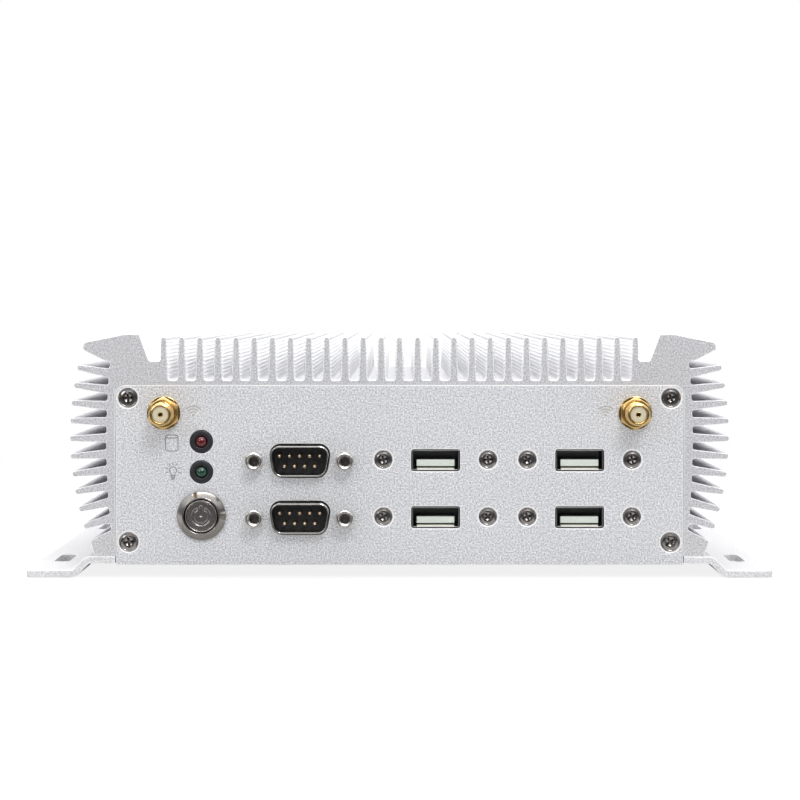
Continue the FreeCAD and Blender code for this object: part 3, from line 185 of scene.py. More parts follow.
def make_floor():
    """A white floor that shows as white itself but keeps the object's soft shadow near it."""
    reach = 3.0
    mesh = bpy.data.meshes.new("floor")
    corners = [(-reach, -reach, 0), (reach, -reach, 0), (reach, reach, 0), (-reach, reach, 0)]
    mesh.from_pydata(corners, [], [(0, 1, 2, 3)])
    floor = bpy.data.objects.new("floor", mesh)
    scene.collection.objects.link(floor)
    finish = bpy.data.materials.new("white_sweep")
    finish.use_nodes = True
    tree = finish.node_tree
    tree.nodes.clear()
    plain = new_node(tree, "ShaderNodeBsdfDiffuse")
    tree.links.new(floor_tone(tree), plain.inputs["Color"])
    glow = new_node(tree, "ShaderNodeEmission")
    glow.inputs["Strength"].default_value = 1.0
    coords = new_node(tree, "ShaderNodeTexCoord").outputs["Object"]
    away = new_node(tree, "ShaderNodeVectorMath", operation="LENGTH")
    tree.links.new(coords, away.inputs[0])
    clear = ramp_node(tree, away.outputs["Value"], [(0.12, 0.86, 0.86, 0.86), (0.42, 1, 1, 1)])
    path = new_node(tree, "ShaderNodeLightPath")
    seen = math_node(tree, "MULTIPLY", path.outputs["Is Camera Ray"], clear.outputs["Color"])
    behind = ramp_node(tree, separated(tree, coords)["Y"], [(0.12, 0, 0, 0), (0.30, 1, 1, 1)])
    mirrored = math_node(tree, "MULTIPLY", path.outputs["Is Glossy Ray"], behind.outputs["Color"])
    share = math_node(tree, "MAXIMUM", seen.outputs[0], mirrored.outputs[0])
    out = new_node(tree, "ShaderNodeOutputMaterial")
    surface = mix_shaders(tree, share.outputs[0], plain.outputs[0], glow.outputs[0])
    tree.links.new(surface, out.inputs["Surface"])
    mesh.materials.append(finish)


def make_camera():
    data = bpy.data.cameras.new("camera")
    data.lens = CAMERA_LENS
    data.sensor_width = 36.0
    data.clip_start = 0.01
    camera = bpy.data.objects.new("camera", data)
    scene.collection.objects.link(camera)
    camera.location = (CAMERA_SIDE, front_y - FRONT_DISTANCE, CAMERA_HEIGHT)
    camera.rotation_euler = (CAMERA_TILT, 0, CAMERA_TURN)
    scene.camera = camera


make_world()
area_light("overhead", (0.0, 0.05, 0.95), (0, 0.0, 0.05), 1.2, 0.6, 8.4)
area_light("rear", (0.0, 0.80, 0.20), (0, 0.0, 0.06), 1.0, 0.24, 2.0)
area_light("key", (0.25, -0.92, 0.85), (0, -0.05, 0.03), 0.34, 0.34, 5.0)
area_light("fill", (-0.80, -1.05, 0.55), (0, -0.05, 0.03), 0.5, 0.5, 2.2)
make_floor()
make_camera()

# ---------------------------------------------------------------- heat-sink housing
# One aluminium extrusion, cut to length, milled at both ends, blasted with fine beads and clear
# anodised. Fine ribs from the same die run along both faces of every top fin, except low on the
# outer faces of the end fins, where the lobes join them.


def noise_node(tree, coords, scale, detail=2.0, roughness=0.5):
    node = new_node(tree, "ShaderNodeTexNoise")
    node.inputs["Scale"].default_value = scale
    node.inputs["Detail"].default_value = detail
    node.inputs["Roughness"].default_value = roughness
    tree.links.new(coords, node.inputs["Vector"])
    return node


def finish_material(name, dark, light, metallic, rough, grain, bump, drift=0.03, coat=0.0):
    """A surface whose tone and gloss vary between two values with a fine grain and a slow drift.

    grain is the size of the grain in metres and bump its height as a share of that size.
    """
    made = bpy.data.materials.new(name)
    made.use_nodes = True
    tree = made.node_tree
    shader = tree.nodes["Principled BSDF"]
    shader.inputs["Metallic"].default_value = metallic
    shader.inputs["Coat Weight"].default_value = coat
    shader.inputs["Coat Roughness"].default_value = 0.12
    coords = new_node(tree, "ShaderNodeTexCoord").outputs["Object"]
    speck = noise_node(tree, coords, 1 / grain, 3.0, 0.6)
    tone = ramp_node(tree, speck.outputs["Fac"], [(0.36, *dark), (0.64, *light)])
    slow = noise_node(tree, coords, 18.0)
    shade = ramp_node(tree, slow.outputs["Fac"], [(0.35, *(1 - drift,) * 3), (0.65, 1, 1, 1)])
    colours = tone.outputs["Color"], shade.outputs["Color"]
    base = mix_colours(tree, 1.0, *colours, blend_type="MULTIPLY")
    tree.links.new(base, shader.inputs["Base Color"])
    gloss = new_node(tree, "ShaderNodeMapRange")
    gloss.inputs["To Min"].default_value = rough[0]
    gloss.inputs["To Max"].default_value = rough[1]
    tree.links.new(speck.outputs["Fac"], gloss.inputs["Value"])
    tree.links.new(gloss.outputs["Result"], shader.inputs["Roughness"])
    relief = new_node(tree, "ShaderNodeBump")
    relief.inputs["Strength"].default_value = 0.6
    relief.inputs["Distance"].default_value = grain * bump
    tree.links.new(speck.outputs["Fac"], relief.inputs["Height"])
    tree.links.new(relief.outputs["Normal"], shader.inputs["Normal"])
    return made


WELD_DISTANCE = 0.000002


def dress(node, finish):
    """Gives a CAD node its material and returns its object."""
    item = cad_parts[node]
    item.data.materials.clear()
    item.data.materials.append(finish)
    return item


def soften(item, width, angle=30, edge=None, free=False):
    """Joins a CAD node's loose triangles and bevels edges sharper than the angle.

    edge is the bevels' own material, and free lets them overlap on narrow faces.
    """
    weld = item.modifiers.new("weld", "WELD")
    weld.merge_threshold = WELD_DISTANCE
    flat = item.modifiers.new("flat", "DECIMATE")
    flat.decimate_type = "DISSOLVE"
    flat.angle_limit = math.radians(0.5)
    bevel = item.modifiers.new("bevel", "BEVEL")
    bevel.width = width
    bevel.segments = 2
    bevel.limit_method = "ANGLE"
    bevel.angle_limit = math.radians(angle)
    bevel.use_clamp_overlap = not free
    bevel.loop_slide = not free
    if edge:
        item.data.materials.append(edge)
        bevel.material = 1


def link_mesh(name, mesh):
    item = bpy.data.objects.new(name, mesh)
    scene.collection.objects.link(item)
    return item


def shade(mesh, angle=32):
    """Smooth shading that keeps every edge sharper than the angle."""
    for face in mesh.polygons:
        face.use_smooth = True
    mesh.set_sharp_from_angle(angle=math.radians(angle))


def build_repeater():
    """A node group that sets a piece on every point, turned by the point's own angles."""
    tree = bpy.data.node_groups.new("repeat_piece", "GeometryNodeTree")
    face = tree.interface
    face.new_socket("Points", in_out="INPUT", socket_type="NodeSocketGeometry")
    face.new_socket("Piece", in_out="INPUT", socket_type="NodeSocketObject")
    face.new_socket("Finish", in_out="INPUT", socket_type="NodeSocketMaterial")
    face.new_socket("Geometry", in_out="OUTPUT", socket_type="NodeSocketGeometry")
    given = new_node(tree, "NodeGroupInput")
    source = new_node(tree, "GeometryNodeObjectInfo")
    angles = new_node(tree, "GeometryNodeInputNamedAttribute", data_type="FLOAT_VECTOR")
    angles.inputs["Name"].default_value = "turn"
    turn = new_node(tree, "FunctionNodeEulerToRotation")
    spread = new_node(tree, "GeometryNodeInstanceOnPoints")
    real = new_node(tree, "GeometryNodeRealizeInstances")
    paint = new_node(tree, "GeometryNodeSetMaterial")
    out = new_node(tree, "NodeGroupOutput")
    tree.links.new(given.outputs["Piece"], source.inputs["Object"])
    tree.links.new(given.outputs["Points"], spread.inputs["Points"])
    tree.links.new(source.outputs["Geometry"], spread.inputs["Instance"])
    tree.links.new(angles.outputs["Attribute"], turn.inputs["Euler"])
    tree.links.new(turn.outputs["Rotation"], spread.inputs["Rotation"])
    tree.links.new(spread.outputs["Instances"], real.inputs["Geometry"])
    tree.links.new(real.outputs["Geometry"], paint.inputs["Geometry"])
    tree.links.new(given.outputs["Finish"], paint.inputs["Material"])
    tree.links.new(paint.outputs["Geometry"], out.inputs["Geometry"])
    return tree


repeater = build_repeater()


def repeated(name, part, places, finish, angle=32):
    """One plain mesh that holds part at each place; places are (point, Euler turn)."""
    points = bpy.data.meshes.new(f"{name}_points")
    points.from_pydata([point for point, _ in places], [], [])
    turns = points.attributes.new("turn", "FLOAT_VECTOR", "POINT")
    for entry, (_, turn) in zip(turns.data, places):
        entry.vector = turn
    carrier = link_mesh(f"{name}_carrier", points)
    source = link_mesh(f"{name}_part", part)
    spread = carrier.modifiers.new("repeat", "NODES")
    spread.node_group = repeater
    for socket in repeater.interface.items_tree:
        if socket.name == "Piece":
            spread[socket.identifier] = source
        if socket.name == "Finish":
            spread[socket.identifier] = finish
    bpy.context.view_layer.update()
    ready = carrier.evaluated_get(bpy.context.evaluated_depsgraph_get())
    mesh = bpy.data.meshes.new_from_object(ready)
    bpy.data.objects.remove(carrier)
    bpy.data.objects.remove(source)
    shade(mesh, angle)
    return link_mesh(name, mesh)


FINS = 27
FIN_PITCH = 5.0 * MM
FIN_TOP = 66.5 * MM
FIN_FLOOR = 54.6 * MM
FIN_ROOT_HALF = 1.15 * MM
FIN_TIP_HALF = 0.70 * MM
END_SKIN = 0.4 * MM
TIP_TALL = 0.9 * MM
FLOOR_ROUND = 0.6 * MM
LOBE_HALF = 78 * MM
LOBE_RISE = 6 * MM
RIBS_ON_FACE = 10
RIB_PITCH = 1.02 * MM
RIB_TALL = 0.17 * MM
RIB_WIDE = 0.62 * MM
RIB_SINK = 0.02 * MM
FIRST_RIB = 1.4 * MM
LOBE_JOIN = 6.4 * MM

housing_metal = finish_material(
    "blasted_housing", (0.44, 0.44, 0.455), (0.80, 0.80, 0.82), 0.55, (0.42, 0.58), 0.42 * MM, 0.20
)
# Bevel colour, partly bare milled metal and partly a painted highlight: paler than the faces, so every
# edge reads as catching the top light.
milled_edge_highlight = finish_material(
    "milled_edge_painted_highlight", (0.78, 0.78, 0.79), (0.88, 0.88, 0.89), 0.30, (0.42, 0.55), 0.3 * MM, 0.05
)


def paint_housing_light_and_shade(finish, depth, floor):
    """Painted light in the top gaps, painted shade on the flanks, greyer crests and lobes."""
    tree = finish.node_tree
    shader = tree.nodes["Principled BSDF"]
    where = separated(tree, new_node(tree, "ShaderNodeTexCoord").outputs["Object"])
    ahead = math_node(tree, "GREATER_THAN", where["Y"], depth)
    short = math_node(tree, "LESS_THAN", where["Y"], rear_y - END_SKIN)
    past = math_node(tree, "MULTIPLY", ahead.outputs[0], short.outputs[0])
    out = math_node(tree, "ABSOLUTE", where["X"])
    beyond = math_node(tree, "GREATER_THAN", out.outputs[0], LOBE_HALF)
    raised = math_node(tree, "MULTIPLY", beyond.outputs[0], LOBE_RISE)
    level = math_node(tree, "SUBTRACT", where["Z"], raised.outputs[0])
    high = math_node(tree, "GREATER_THAN", level.outputs[0], floor)
    top = math_node(tree, "MULTIPLY", past.outputs[0], high.outputs[0])
    shaded_flank = math_node(tree, "SUBTRACT", past.outputs[0], top.outputs[0])
    crest = math_node(tree, "GREATER_THAN", where["Z"], FIN_TOP - TIP_TALL)
    outer = math_node(tree, "MAXIMUM", crest.outputs[0], beyond.outputs[0])
    tip = math_node(tree, "MULTIPLY", top.outputs[0], outer.outputs[0])
    colour = shader.inputs["Base Color"].links[0].from_socket
    # Painted light: near white on the top fins' faces. Painted shade: dark grey on the flanks below the
    # fin floor. Crests and lobes get a greyer tone.
    for zone, tone in (
        (top, (0.97, 0.97, 0.98, 1)),
        (shaded_flank, (0.42, 0.41, 0.45, 1)),
        (tip, (0.50, 0.50, 0.51, 1)),
    ):
        share = math_node(tree, "MULTIPLY", zone.outputs[0], 0.9)
        colour = mix_colours(tree, share.outputs[0], colour, tone)
    tree.links.new(colour, shader.inputs["Base Color"])
    # The painted light zone is also made rougher and less metallic, so it stays pale.
    gloss = shader.inputs["Roughness"].links[0].from_socket
    more = math_node(tree, "MULTIPLY", top.outputs[0], 0.10)
    duller = math_node(tree, "ADD", gloss, more.outputs[0])
    tree.links.new(duller.outputs[0], shader.inputs["Roughness"])
    metallic = shader.inputs["Metallic"].default_value
    metal = math_node(tree, "MULTIPLY_ADD", top.outputs[0], -0.45, metallic)
    tree.links.new(metal.outputs[0], shader.inputs["Metallic"])


# Paints light into the top gaps and shade onto the flanks of the housing's material.
paint_housing_light_and_shade(housing_metal, front_y + END_SKIN, FIN_FLOOR - FLOOR_ROUND)


def rib_strip():
    """One rib as long as the housing: a low half-round on the plane x = 0."""
    length = rear_y - front_y - 0.3 * MM
    section = []
    for step in range(5):
        angle = math.pi * step / 4
        section.append((RIB_TALL * math.sin(angle) - RIB_SINK, RIB_WIDE / 2 * math.cos(angle)))
    rings = [[(x, y, z) for x, z in section] for y in (-length / 2, length / 2)]
    verts = rings[0] + rings[1]
    faces = [(i, i + 1, i + 6, i + 5) for i in range(4)]
    faces += [(4, 0, 5, 9), (0, 1, 2, 3, 4)[::-1], (5, 6, 7, 8, 9)]
    mesh = bpy.data.meshes.new("rib_strip")
    mesh.from_pydata(verts, [], faces)
    orient(mesh)
    return mesh


def orient(mesh):
    """Turns all faces outwards."""
    work = bmesh.new()
    work.from_mesh(mesh)
    bmesh.ops.recalc_face_normals(work, faces=work.faces)
    work.to_mesh(mesh)
    work.free()


def make_fin_ribs():
    """Fine ribs on each face of each top fin, following the fin's taper."""
    tall = FIN_TOP - FIN_FLOOR
    lean = math.atan((FIN_ROOT_HALF - FIN_TIP_HALF) / tall)
    middle_y = (front_y + rear_y) / 2
    places = []
    for number in range(FINS):
        middle = FIN_PITCH * (number - (FINS - 1) / 2)
        for side in (-1, 1):
            for rib in range(RIBS_ON_FACE):
                rise = FIRST_RIB + RIB_PITCH * rib
                half = FIN_ROOT_HALF - rise * math.tan(lean)
                outer = number == 0 and side < 0 or number == FINS - 1 and side > 0
                if outer and rise < LOBE_JOIN:
                    continue
                turn = -lean if side > 0 else math.pi + lean
                point = (middle + side * half, middle_y, FIN_FLOOR + rise)
                places.append((point, (0, turn, 0)))
    ribs = repeated("fin_ribs", rib_strip(), places, housing_metal)
    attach(ribs, "chassis")


soften(dress("heatsink_housing", housing_metal), 0.15 * MM, 40, milled_edge_highlight, free=True)
make_fin_ribs()

# ---------------------------------------------------------------- panels, cover and brackets
# Flat aluminium plates with chamfered cut-outs, blasted more finely than the housing, and two
# folded side brackets of anodised sheet.

panel_metal = finish_material(
    "blasted_panel", (0.40, 0.405, 0.425), (0.88, 0.885, 0.905), 0.45, (0.44, 0.60), 0.42 * MM, 0.20
)
rear_metal = finish_material(
    "blasted_rear", (0.34, 0.34, 0.35), (0.46, 0.46, 0.47), 0.20, (0.5, 0.62), 0.42 * MM, 0.10
)
bracket_metal = finish_material(
    "anodised_sheet", (0.44, 0.44, 0.45), (0.72, 0.72, 0.73), 0.15, (0.58, 0.70), 0.40 * MM, 0.14
)

soften(dress("front_panel", panel_metal), 0.20 * MM, 40, milled_edge_highlight, free=True)
soften(dress("rear_panel", rear_metal), 0.20 * MM, 40)
soften(dress("bottom_cover", panel_metal), 0.20 * MM, 40)
for side in ("left", "right"):
    soften(dress(f"mounting_bracket_{side}", bracket_metal), 0.18 * MM, 40, milled_edge_highlight, free=True)

# ---------------------------------------------------------------- screws
# Countersunk steel screws with a cross recess, plated dark nickel. Each stands where the CAD node
# has its solid: a turned outline with a plain shank, from whose head the recess is cut.


def islands(node):
    """The separate solids of a CAD node, as (lowest corner, highest corner) pairs."""
    work = bmesh.new()
    work.from_mesh(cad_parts[node].data)
    bmesh.ops.remove_doubles(work, verts=work.verts, dist=WELD_DISTANCE)
    left = set(work.verts)
    boxes = []
    while left:
        group = [left.pop()]
        for vert in group:
            for edge in vert.link_edges:
                other = edge.other_vert(vert)
                if other in left:
                    left.remove(other)
                    group.append(other)
        low = Vector([min(vert.co[i] for vert in group) for i in range(3)])
        high = Vector([max(vert.co[i] for vert in group) for i in range(3)])
        boxes.append((low, high))
    work.free()
    return sorted(boxes, key=lambda box: (round(box[0].x, 4), round(box[0].z, 4), round(box[0].y, 4)))


def lathe_mesh(name, outline, segments=72, closed=False):
    """A mesh turned about Z; outline holds (radius, height) pairs."""
    verts = []
    rings = []
    for radius, height in outline:
        if radius < 1e-7:
            rings.append([len(verts)] * segments)
            verts.append((0, 0, height))
            continue
        rings.append(range(len(verts), len(verts) + segments))
        for step in range(segments):
            angle = 2 * math.pi * step / segments
            verts.append((radius * math.cos(angle), radius * math.sin(angle), height))
    pairs = list(zip(rings, rings[1:]))
    if closed:
        pairs.append((rings[-1], rings[0]))
    faces = []
    for first, second in pairs:
        for step in range(segments):
            after = (step + 1) % segments
            corners = [first[step], first[after], second[after], second[step]]
            faces.append(tuple(dict.fromkeys(corners)))
    mesh = bpy.data.meshes.new(name)
    mesh.from_pydata(verts, [], [face for face in faces if len(face) > 2])
    orient(mesh)
    return mesh


def rounded_outline(points, steps=4):
    """(radius, height, fillet) corners as a list of pairs with each fillet drawn in steps."""
    result = []
    for number, (x, y, fillet) in enumerate(points):
        if fillet <= 0 or number in (0, len(points) - 1):
            result.append((x, y))
            continue
        corner = Vector((x, y))
        before = Vector(points[number - 1][:2]) - corner
        after = Vector(points[number + 1][:2]) - corner
        reach = min(fillet, before.length * 0.49, after.length * 0.49)
        start = corner + before.normalized() * reach
        stop = corner + after.normalized() * reach
        for step in range(steps + 1):
            t = step / steps
            spot = start * (1 - t) ** 2 + corner * 2 * t * (1 - t) + stop * t ** 2
            result.append((spot.x, spot.y))
    return result


def pointing(direction, spin=0.0):
    """The Euler turn that takes +Z to direction, after a spin about it."""
    base = Vector((0, 0, 1)).rotation_difference(direction).to_matrix()
    return tuple((base @ Matrix.Rotation(spin, 3, "Z")).to_euler())


def cross_cutter(head):
    """Two crossed tapered bars, which press a cross recess into a screw head."""
    work = bmesh.new()
    arm_top, arm_low = head * 0.36, head * 0.10
    wide_top, wide_low = head * 0.072, head * 0.036
    top, low = head * 0.08, -head * 0.30
    for turned in (False, True):
        corners = []
        for arm, wide, height in ((arm_top, wide_top, top), (arm_low, wide_low, low)):
            for x, y in ((-arm, -wide), (arm, -wide), (arm, wide), (-arm, wide)):
                corners.append(work.verts.new((y, x, height) if turned else (x, y, height)))
        for ring in ((0, 1, 2, 3), (4, 5, 6, 7), (0, 1, 5, 4), (1, 2, 6, 5), (2, 3, 7, 6), (3, 0, 4, 7)):
            work.faces.new([corners[i] for i in ring])
    bmesh.ops.recalc_face_normals(work, faces=work.faces)
    mesh = bpy.data.meshes.new("cross_cutter")
    work.to_mesh(mesh)
    work.free()
    return mesh


def carved(item, tool):
    """item's mesh with tool taken out of it."""
    cut = item.modifiers.new("cut", "BOOLEAN")
    cut.operation = "DIFFERENCE"
    cut.solver = "EXACT"
    cut.use_self = True
    cut.object = tool
    bpy.context.view_layer.update()
    ready = item.evaluated_get(bpy.context.evaluated_depsgraph_get())
    mesh = bpy.data.meshes.new_from_object(ready)
    bpy.data.objects.remove(item)
    bpy.data.objects.remove(tool)
    return mesh


def flat_screw(head, reach, thread=3.0 * MM):
    """A countersunk screw along Z: its head's top is at 0 and its shank goes down to -reach."""
    rim = head / 2
    core = thread / 2
    under = rim - core + 0.2 * MM
    outline = [
        (0, -0.30 * rim, 0),
        (rim * 0.40, -0.05 * MM, 0.15 * MM),
        (rim * 0.60, 0.0, 0.25 * MM),
        (rim * 0.84, -0.22 * MM, 0.15 * MM),
        (rim * 0.90, -0.08 * MM, 0.06 * MM),
        (rim * 0.97, -0.06 * MM, 0.05 * MM),
        (rim, -0.30 * MM, 0.05 * MM),
        (core, -under, 0),
        (core, -reach + 0.4 * MM, 0),
        (core - 0.4 * MM, -reach, 0),
        (0, -reach, 0),
    ]
    blank = lathe_mesh("screw_blank", rounded_outline(outline), 48)
    return carved(link_mesh("screw_blank", blank), link_mesh("cutter", cross_cutter(head)))


screw_metal = finish_material(
    "dark_nickel_screw", (0.34, 0.32, 0.31), (0.44, 0.42, 0.41), 1.0, (0.14, 0.20), 0.5 * MM, 0.01
)


def make_flat_screws(node, head, direction, spins):
    """Screws at the node's solids; direction is the way their heads face."""
    axis = max(range(3), key=lambda i: abs(direction[i]))
    places = []
    reach = 0
    for number, (low, high) in enumerate(islands(node)):
        middle = (low + high) / 2
        middle[axis] = high[axis] if direction[axis] > 0 else low[axis]
        reach = high[axis] - low[axis]
        places.append((middle, pointing(direction, spins[number % len(spins)])))
    screws = repeated(f"{node}_set", flat_screw(head, reach), places, screw_metal, 28)
    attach(screws, "chassis")
    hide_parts(node)


make_flat_screws("front_panel_screws", 5.4 * MM, OUT, (0.15, 0.10, 0.62, 0.35))
make_flat_screws("usb_panel_screws", 5.0 * MM, OUT, (0.50, 0.25, 0.72, 0.10, 0.35, 0.60))
make_flat_screws("rear_panel_screws", 5.4 * MM, BACK, (0.2, 0.7, 0.4, 0.1))
make_flat_screws("bottom_cover_screws", 5.4 * MM, DOWN, (0.3, 0.6, 0.1, 0.5))
make_flat_screws("bracket_screws", 5.4 * MM, DOWN, (0.1, 0.5, 0.3, 0.7))
make_flat_screws("drive_screws", 5.4 * MM, DOWN, (0.6, 0.2, 0.4, 0.0))

# ---------------------------------------------------------------- antenna jacks
# Gold-plated brass jacks clamped by a hexagon nut: a quarter-inch thread on the barrel, a cream
# fluoropolymer insulator sunk in the mouth and a hollow centre contact.

gold = finish_material(
    "gold_plate", (0.74, 0.50, 0.19), (0.84, 0.60, 0.27), 1.0, (0.14, 0.22), 0.8 * MM, 0.004
)
cream = finish_material(
    "cream_insulator", (0.44, 0.39, 0.27), (0.54, 0.49, 0.35), 0.0, (0.35, 0.5), 0.3 * MM, 0.02
)

THREAD_PITCH = 0.706 * MM
THREAD_DEEP = 0.26 * MM
THREAD_RUN_OUT = 0.3 * MM
ROWS_PER_TURN = 8


def turned_piece(name, mesh, place, finish, angle=32):
    """A mesh turned about Z as a finished piece whose +Z points to the front at place."""
    turn = Euler(pointing(OUT)).to_matrix().to_4x4()
    mesh.transform(Matrix.Translation(place) @ turn)
    mesh.materials.append(finish)
    shade(mesh, angle)
    return link_mesh(name, mesh)


def make_antenna(side):
    jack = f"antenna_jack_{side}"
    low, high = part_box(jack)
    middle = (low + high) / 2
    barrel = 3.175 * MM
    bore = 2.30 * MM
    length = high.y - low.y
    nut_low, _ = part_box("antenna_nuts")
    free = nut_low.y - low.y
    deep = front_y - low.y
    flange = 4.0 * MM
    flange_front = -deep - 3.0 * MM
    flange_back = -deep - 7.0 * MM
    tail = 2.0 * MM
    centre = 0.2 * MM
    bore_end = -deep - 5.9 * MM
    outline = [
        (bore, bore_end),
        (bore, -0.10 * MM),
        (bore + 0.10 * MM, 0.0),
        (bore + 0.35 * MM, -0.03 * MM),
        (barrel - 0.26 * MM, -0.18 * MM),
        (barrel - 0.09 * MM, -0.40 * MM),
        (barrel - 0.01 * MM, -0.70 * MM),
        (barrel, flange_front),
        (flange, flange_front),
        (flange, flange_back),
        (tail, flange_back),
        (tail, -length),
        (centre, -length),
        (centre, bore_end),
    ]
    mesh = jack_mesh(f"{jack}_turned", outline, -free - 2.0 * MM, -0.95 * MM)
    piece = turned_piece(f"{jack}_turned", mesh, (middle.x, low.y, middle.z), gold, 40)
    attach(piece, "chassis")
    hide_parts(jack)


def jack_mesh(name, outline, start, stop, segments=88):
    """A closed turned outline whose outer barrel carries a helical thread between two heights."""
    rows = int((stop - start) / THREAD_PITCH * ROWS_PER_TURN)
    table = []
    for number, (radius, height) in enumerate(outline):
        table.append((radius, height, False))
        following = outline[(number + 1) % len(outline)]
        if height >= stop and following[1] <= start and radius > 2.5 * MM:
            for row in range(rows + 1):
                table.append((following[0], stop + (start - stop) * row / rows, True))
    verts = []
    rings = []
    for radius, height, cut in table:
        ring = []
        for step in range(segments):
            share = step / segments
            r = radius
            if cut:
                phase = (height / THREAD_PITCH + share) % 1.0
                ease = min((height - start), (stop - height)) / THREAD_RUN_OUT
                r -= THREAD_DEEP * min(1.0, max(0.0, ease)) * abs(2 * phase - 1)
            angle = 2 * math.pi * share
            ring.append(len(verts))
            verts.append((r * math.cos(angle), r * math.sin(angle), height))
        rings.append(ring)
    faces = []
    for first, second in zip(rings, rings[1:] + rings[:1]):
        for step in range(segments):
            after = (step + 1) % segments
            faces.append((first[step], first[after], second[after], second[step]))
    mesh = bpy.data.meshes.new(name)
    mesh.from_pydata(verts, [], faces)
    orient(mesh)
    return mesh


for side in ("left", "right"):
    make_antenna(side)
    soften(dress(f"antenna_insulator_{side}", cream), 0.12 * MM)
soften(dress("antenna_nuts", gold), 0.14 * MM, 25)
soften(dress("antenna_washers", gold), 0.08 * MM)
soften(dress("antenna_contacts", gold), 0.05 * MM)

# ---------------------------------------------------------------- lamps
# Three-millimetre diodes of deeply tinted epoxy in black moulded push-in holders. Both are
# turned outlines that round off the plain forms of their CAD nodes.

black_moulding = finish_material(
    "black_moulding", (0.012, 0.012, 0.014), (0.022, 0.022, 0.025), 0.0, (0.34, 0.46), 0.25 * MM, 0.03
)


def tinted_lens(name, dark, light):
    """Deeply tinted glossy epoxy."""
    made = finish_material(name, dark, light, 0.0, (0.05, 0.10), 1.2 * MM, 0.0005, coat=1.0)
    shader = made.node_tree.nodes["Principled BSDF"]
    shader.inputs["IOR"].default_value = 1.5
    return made


red_lens = tinted_lens("red_epoxy", (0.055, 0.001, 0.003), (0.10, 0.002, 0.005))
green_lens = tinted_lens("green_epoxy", (0.0015, 0.026, 0.014), (0.003, 0.050, 0.027))

LENS_FLATNESS = 0.9


def make_lamp(name, finish):
    """A lamp's holder and its lens, which replace their CAD nodes."""
    holder = f"lamp_holder_{name}"
    low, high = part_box(holder)
    middle = (low + high) / 2
    mouth = 1.60 * MM
    bore = 2.00 * MM
    rim = 3.15 * MM
    lens_seat = -1.55 * MM
    outline = [
        (mouth, -0.7 * MM, 0),
        (mouth, -0.30 * MM, 0.1 * MM),
        (1.85 * MM, -0.05 * MM, 0.15 * MM),
        (2.30 * MM, 0.0, 0.3 * MM),
        (rim, -0.12 * MM, 0.28 * MM),
        (rim, low.y - high.y, 0),
        (bore, low.y - high.y, 0),
        (bore, lens_seat, 0),
        (mouth, lens_seat, 0),
    ]
    mesh = lathe_mesh(holder, rounded_outline(outline), 72, closed=True)
    place = (middle.x, low.y, middle.z)
    piece = turned_piece(f"{holder}_moulded", mesh, place, black_moulding)
    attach(piece, "chassis")
    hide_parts(holder)

    low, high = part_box(f"lamp_{name}")
    radius = 1.5 * MM
    flange_radius = 1.95 * MM
    flange = -(front_y - low.y) - 1.2 * MM
    flange_back = flange - 1.0 * MM
    steps = 12
    dome = []
    for step in range(steps + 1):
        angle = math.pi / 2 * step / steps
        dome.append((radius * math.sin(angle), radius * (math.cos(angle) - 1) * LENS_FLATNESS))
    dome += [
        (radius, flange),
        (flange_radius, flange),
        (flange_radius, flange_back),
        (radius, flange_back),
        (radius, low.y - high.y),
        (0, low.y - high.y),
    ]
    mesh = lathe_mesh(f"lamp_{name}", dome, 64)
    place = (middle.x, low.y, middle.z)
    piece = turned_piece(f"lamp_{name}_epoxy", mesh, place, finish)
    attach(piece, "chassis")
    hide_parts(f"lamp_{name}")


make_lamp("drive", red_lens)
make_lamp("power", green_lens)

# ---------------------------------------------------------------- power button
# Stainless push button: a bevelled bezel clamped through the panel by its nut, and a cap that
# slides in it. The cap's face has a pressed power sign inside a turned groove.

stainless = finish_material(
    "turned_stainless", (0.35, 0.33, 0.32), (0.42, 0.40, 0.385), 1.0, (0.12, 0.18), 0.8 * MM, 0.003
)

cap_steel = finish_material(
    "pressed_stainless", (0.46, 0.44, 0.43), (0.54, 0.52, 0.50), 1.0, (0.20, 0.26), 0.8 * MM, 0.003
)


def make_bezel():
    """The turned bezel and barrel, bored for the cap down to the barrel's solid end."""
    low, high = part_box("power_button_bezel")
    middle = (low + high) / 2
    deep = front_y - low.y
    bore = 4.80 * MM
    rim = 6.80 * MM
    barrel = 6.00 * MM
    centre = 0.1 * MM
    solid_end = 6.55 * MM
    bore_end = low.y + solid_end - high.y
    outline = [
        (bore, bore_end, 0),
        (bore, -0.15 * MM, 0.1 * MM),
        (4.95 * MM, 0.0, 0.1 * MM),
        (5.15 * MM, -0.02 * MM, 0.1 * MM),
        (rim, -1.45 * MM, 0.2 * MM),
        (rim, -deep, 0),
        (barrel, -deep, 0),
        (barrel, low.y - high.y, 0),
        (centre, low.y - high.y, 0),
        (centre, bore_end, 0),
    ]
    mesh = lathe_mesh("bezel", rounded_outline(outline), 96, closed=True)
    place = (middle.x, low.y, middle.z)
    piece = turned_piece("power_button_bezel_turned", mesh, place, stainless)
    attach(piece, "chassis")
    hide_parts("power_button_bezel")


def sign_depth(x, z):
    """Depth of the engraved power sign at a point of the cap's face."""
    ring = 2.25 * MM
    opening = math.radians(34)
    bar_low = 0.25 * MM
    bar_high = 2.60 * MM
    half_width = 0.50 * MM
    slope = 0.26 * MM
    deepest = 0.26 * MM
    arc = abs(math.hypot(x, z) - ring)
    if abs(math.atan2(x, z)) < opening:
        end_x = math.copysign(ring * math.sin(opening), x)
        arc = math.hypot(x - end_x, z - ring * math.cos(opening))
    bar = math.hypot(x, z - min(max(z, bar_low), bar_high))
    inside = (half_width - min(arc, bar)) / slope
    inside = min(1.0, max(0.0, inside))
    return deepest * inside * inside * (3 - 2 * inside)


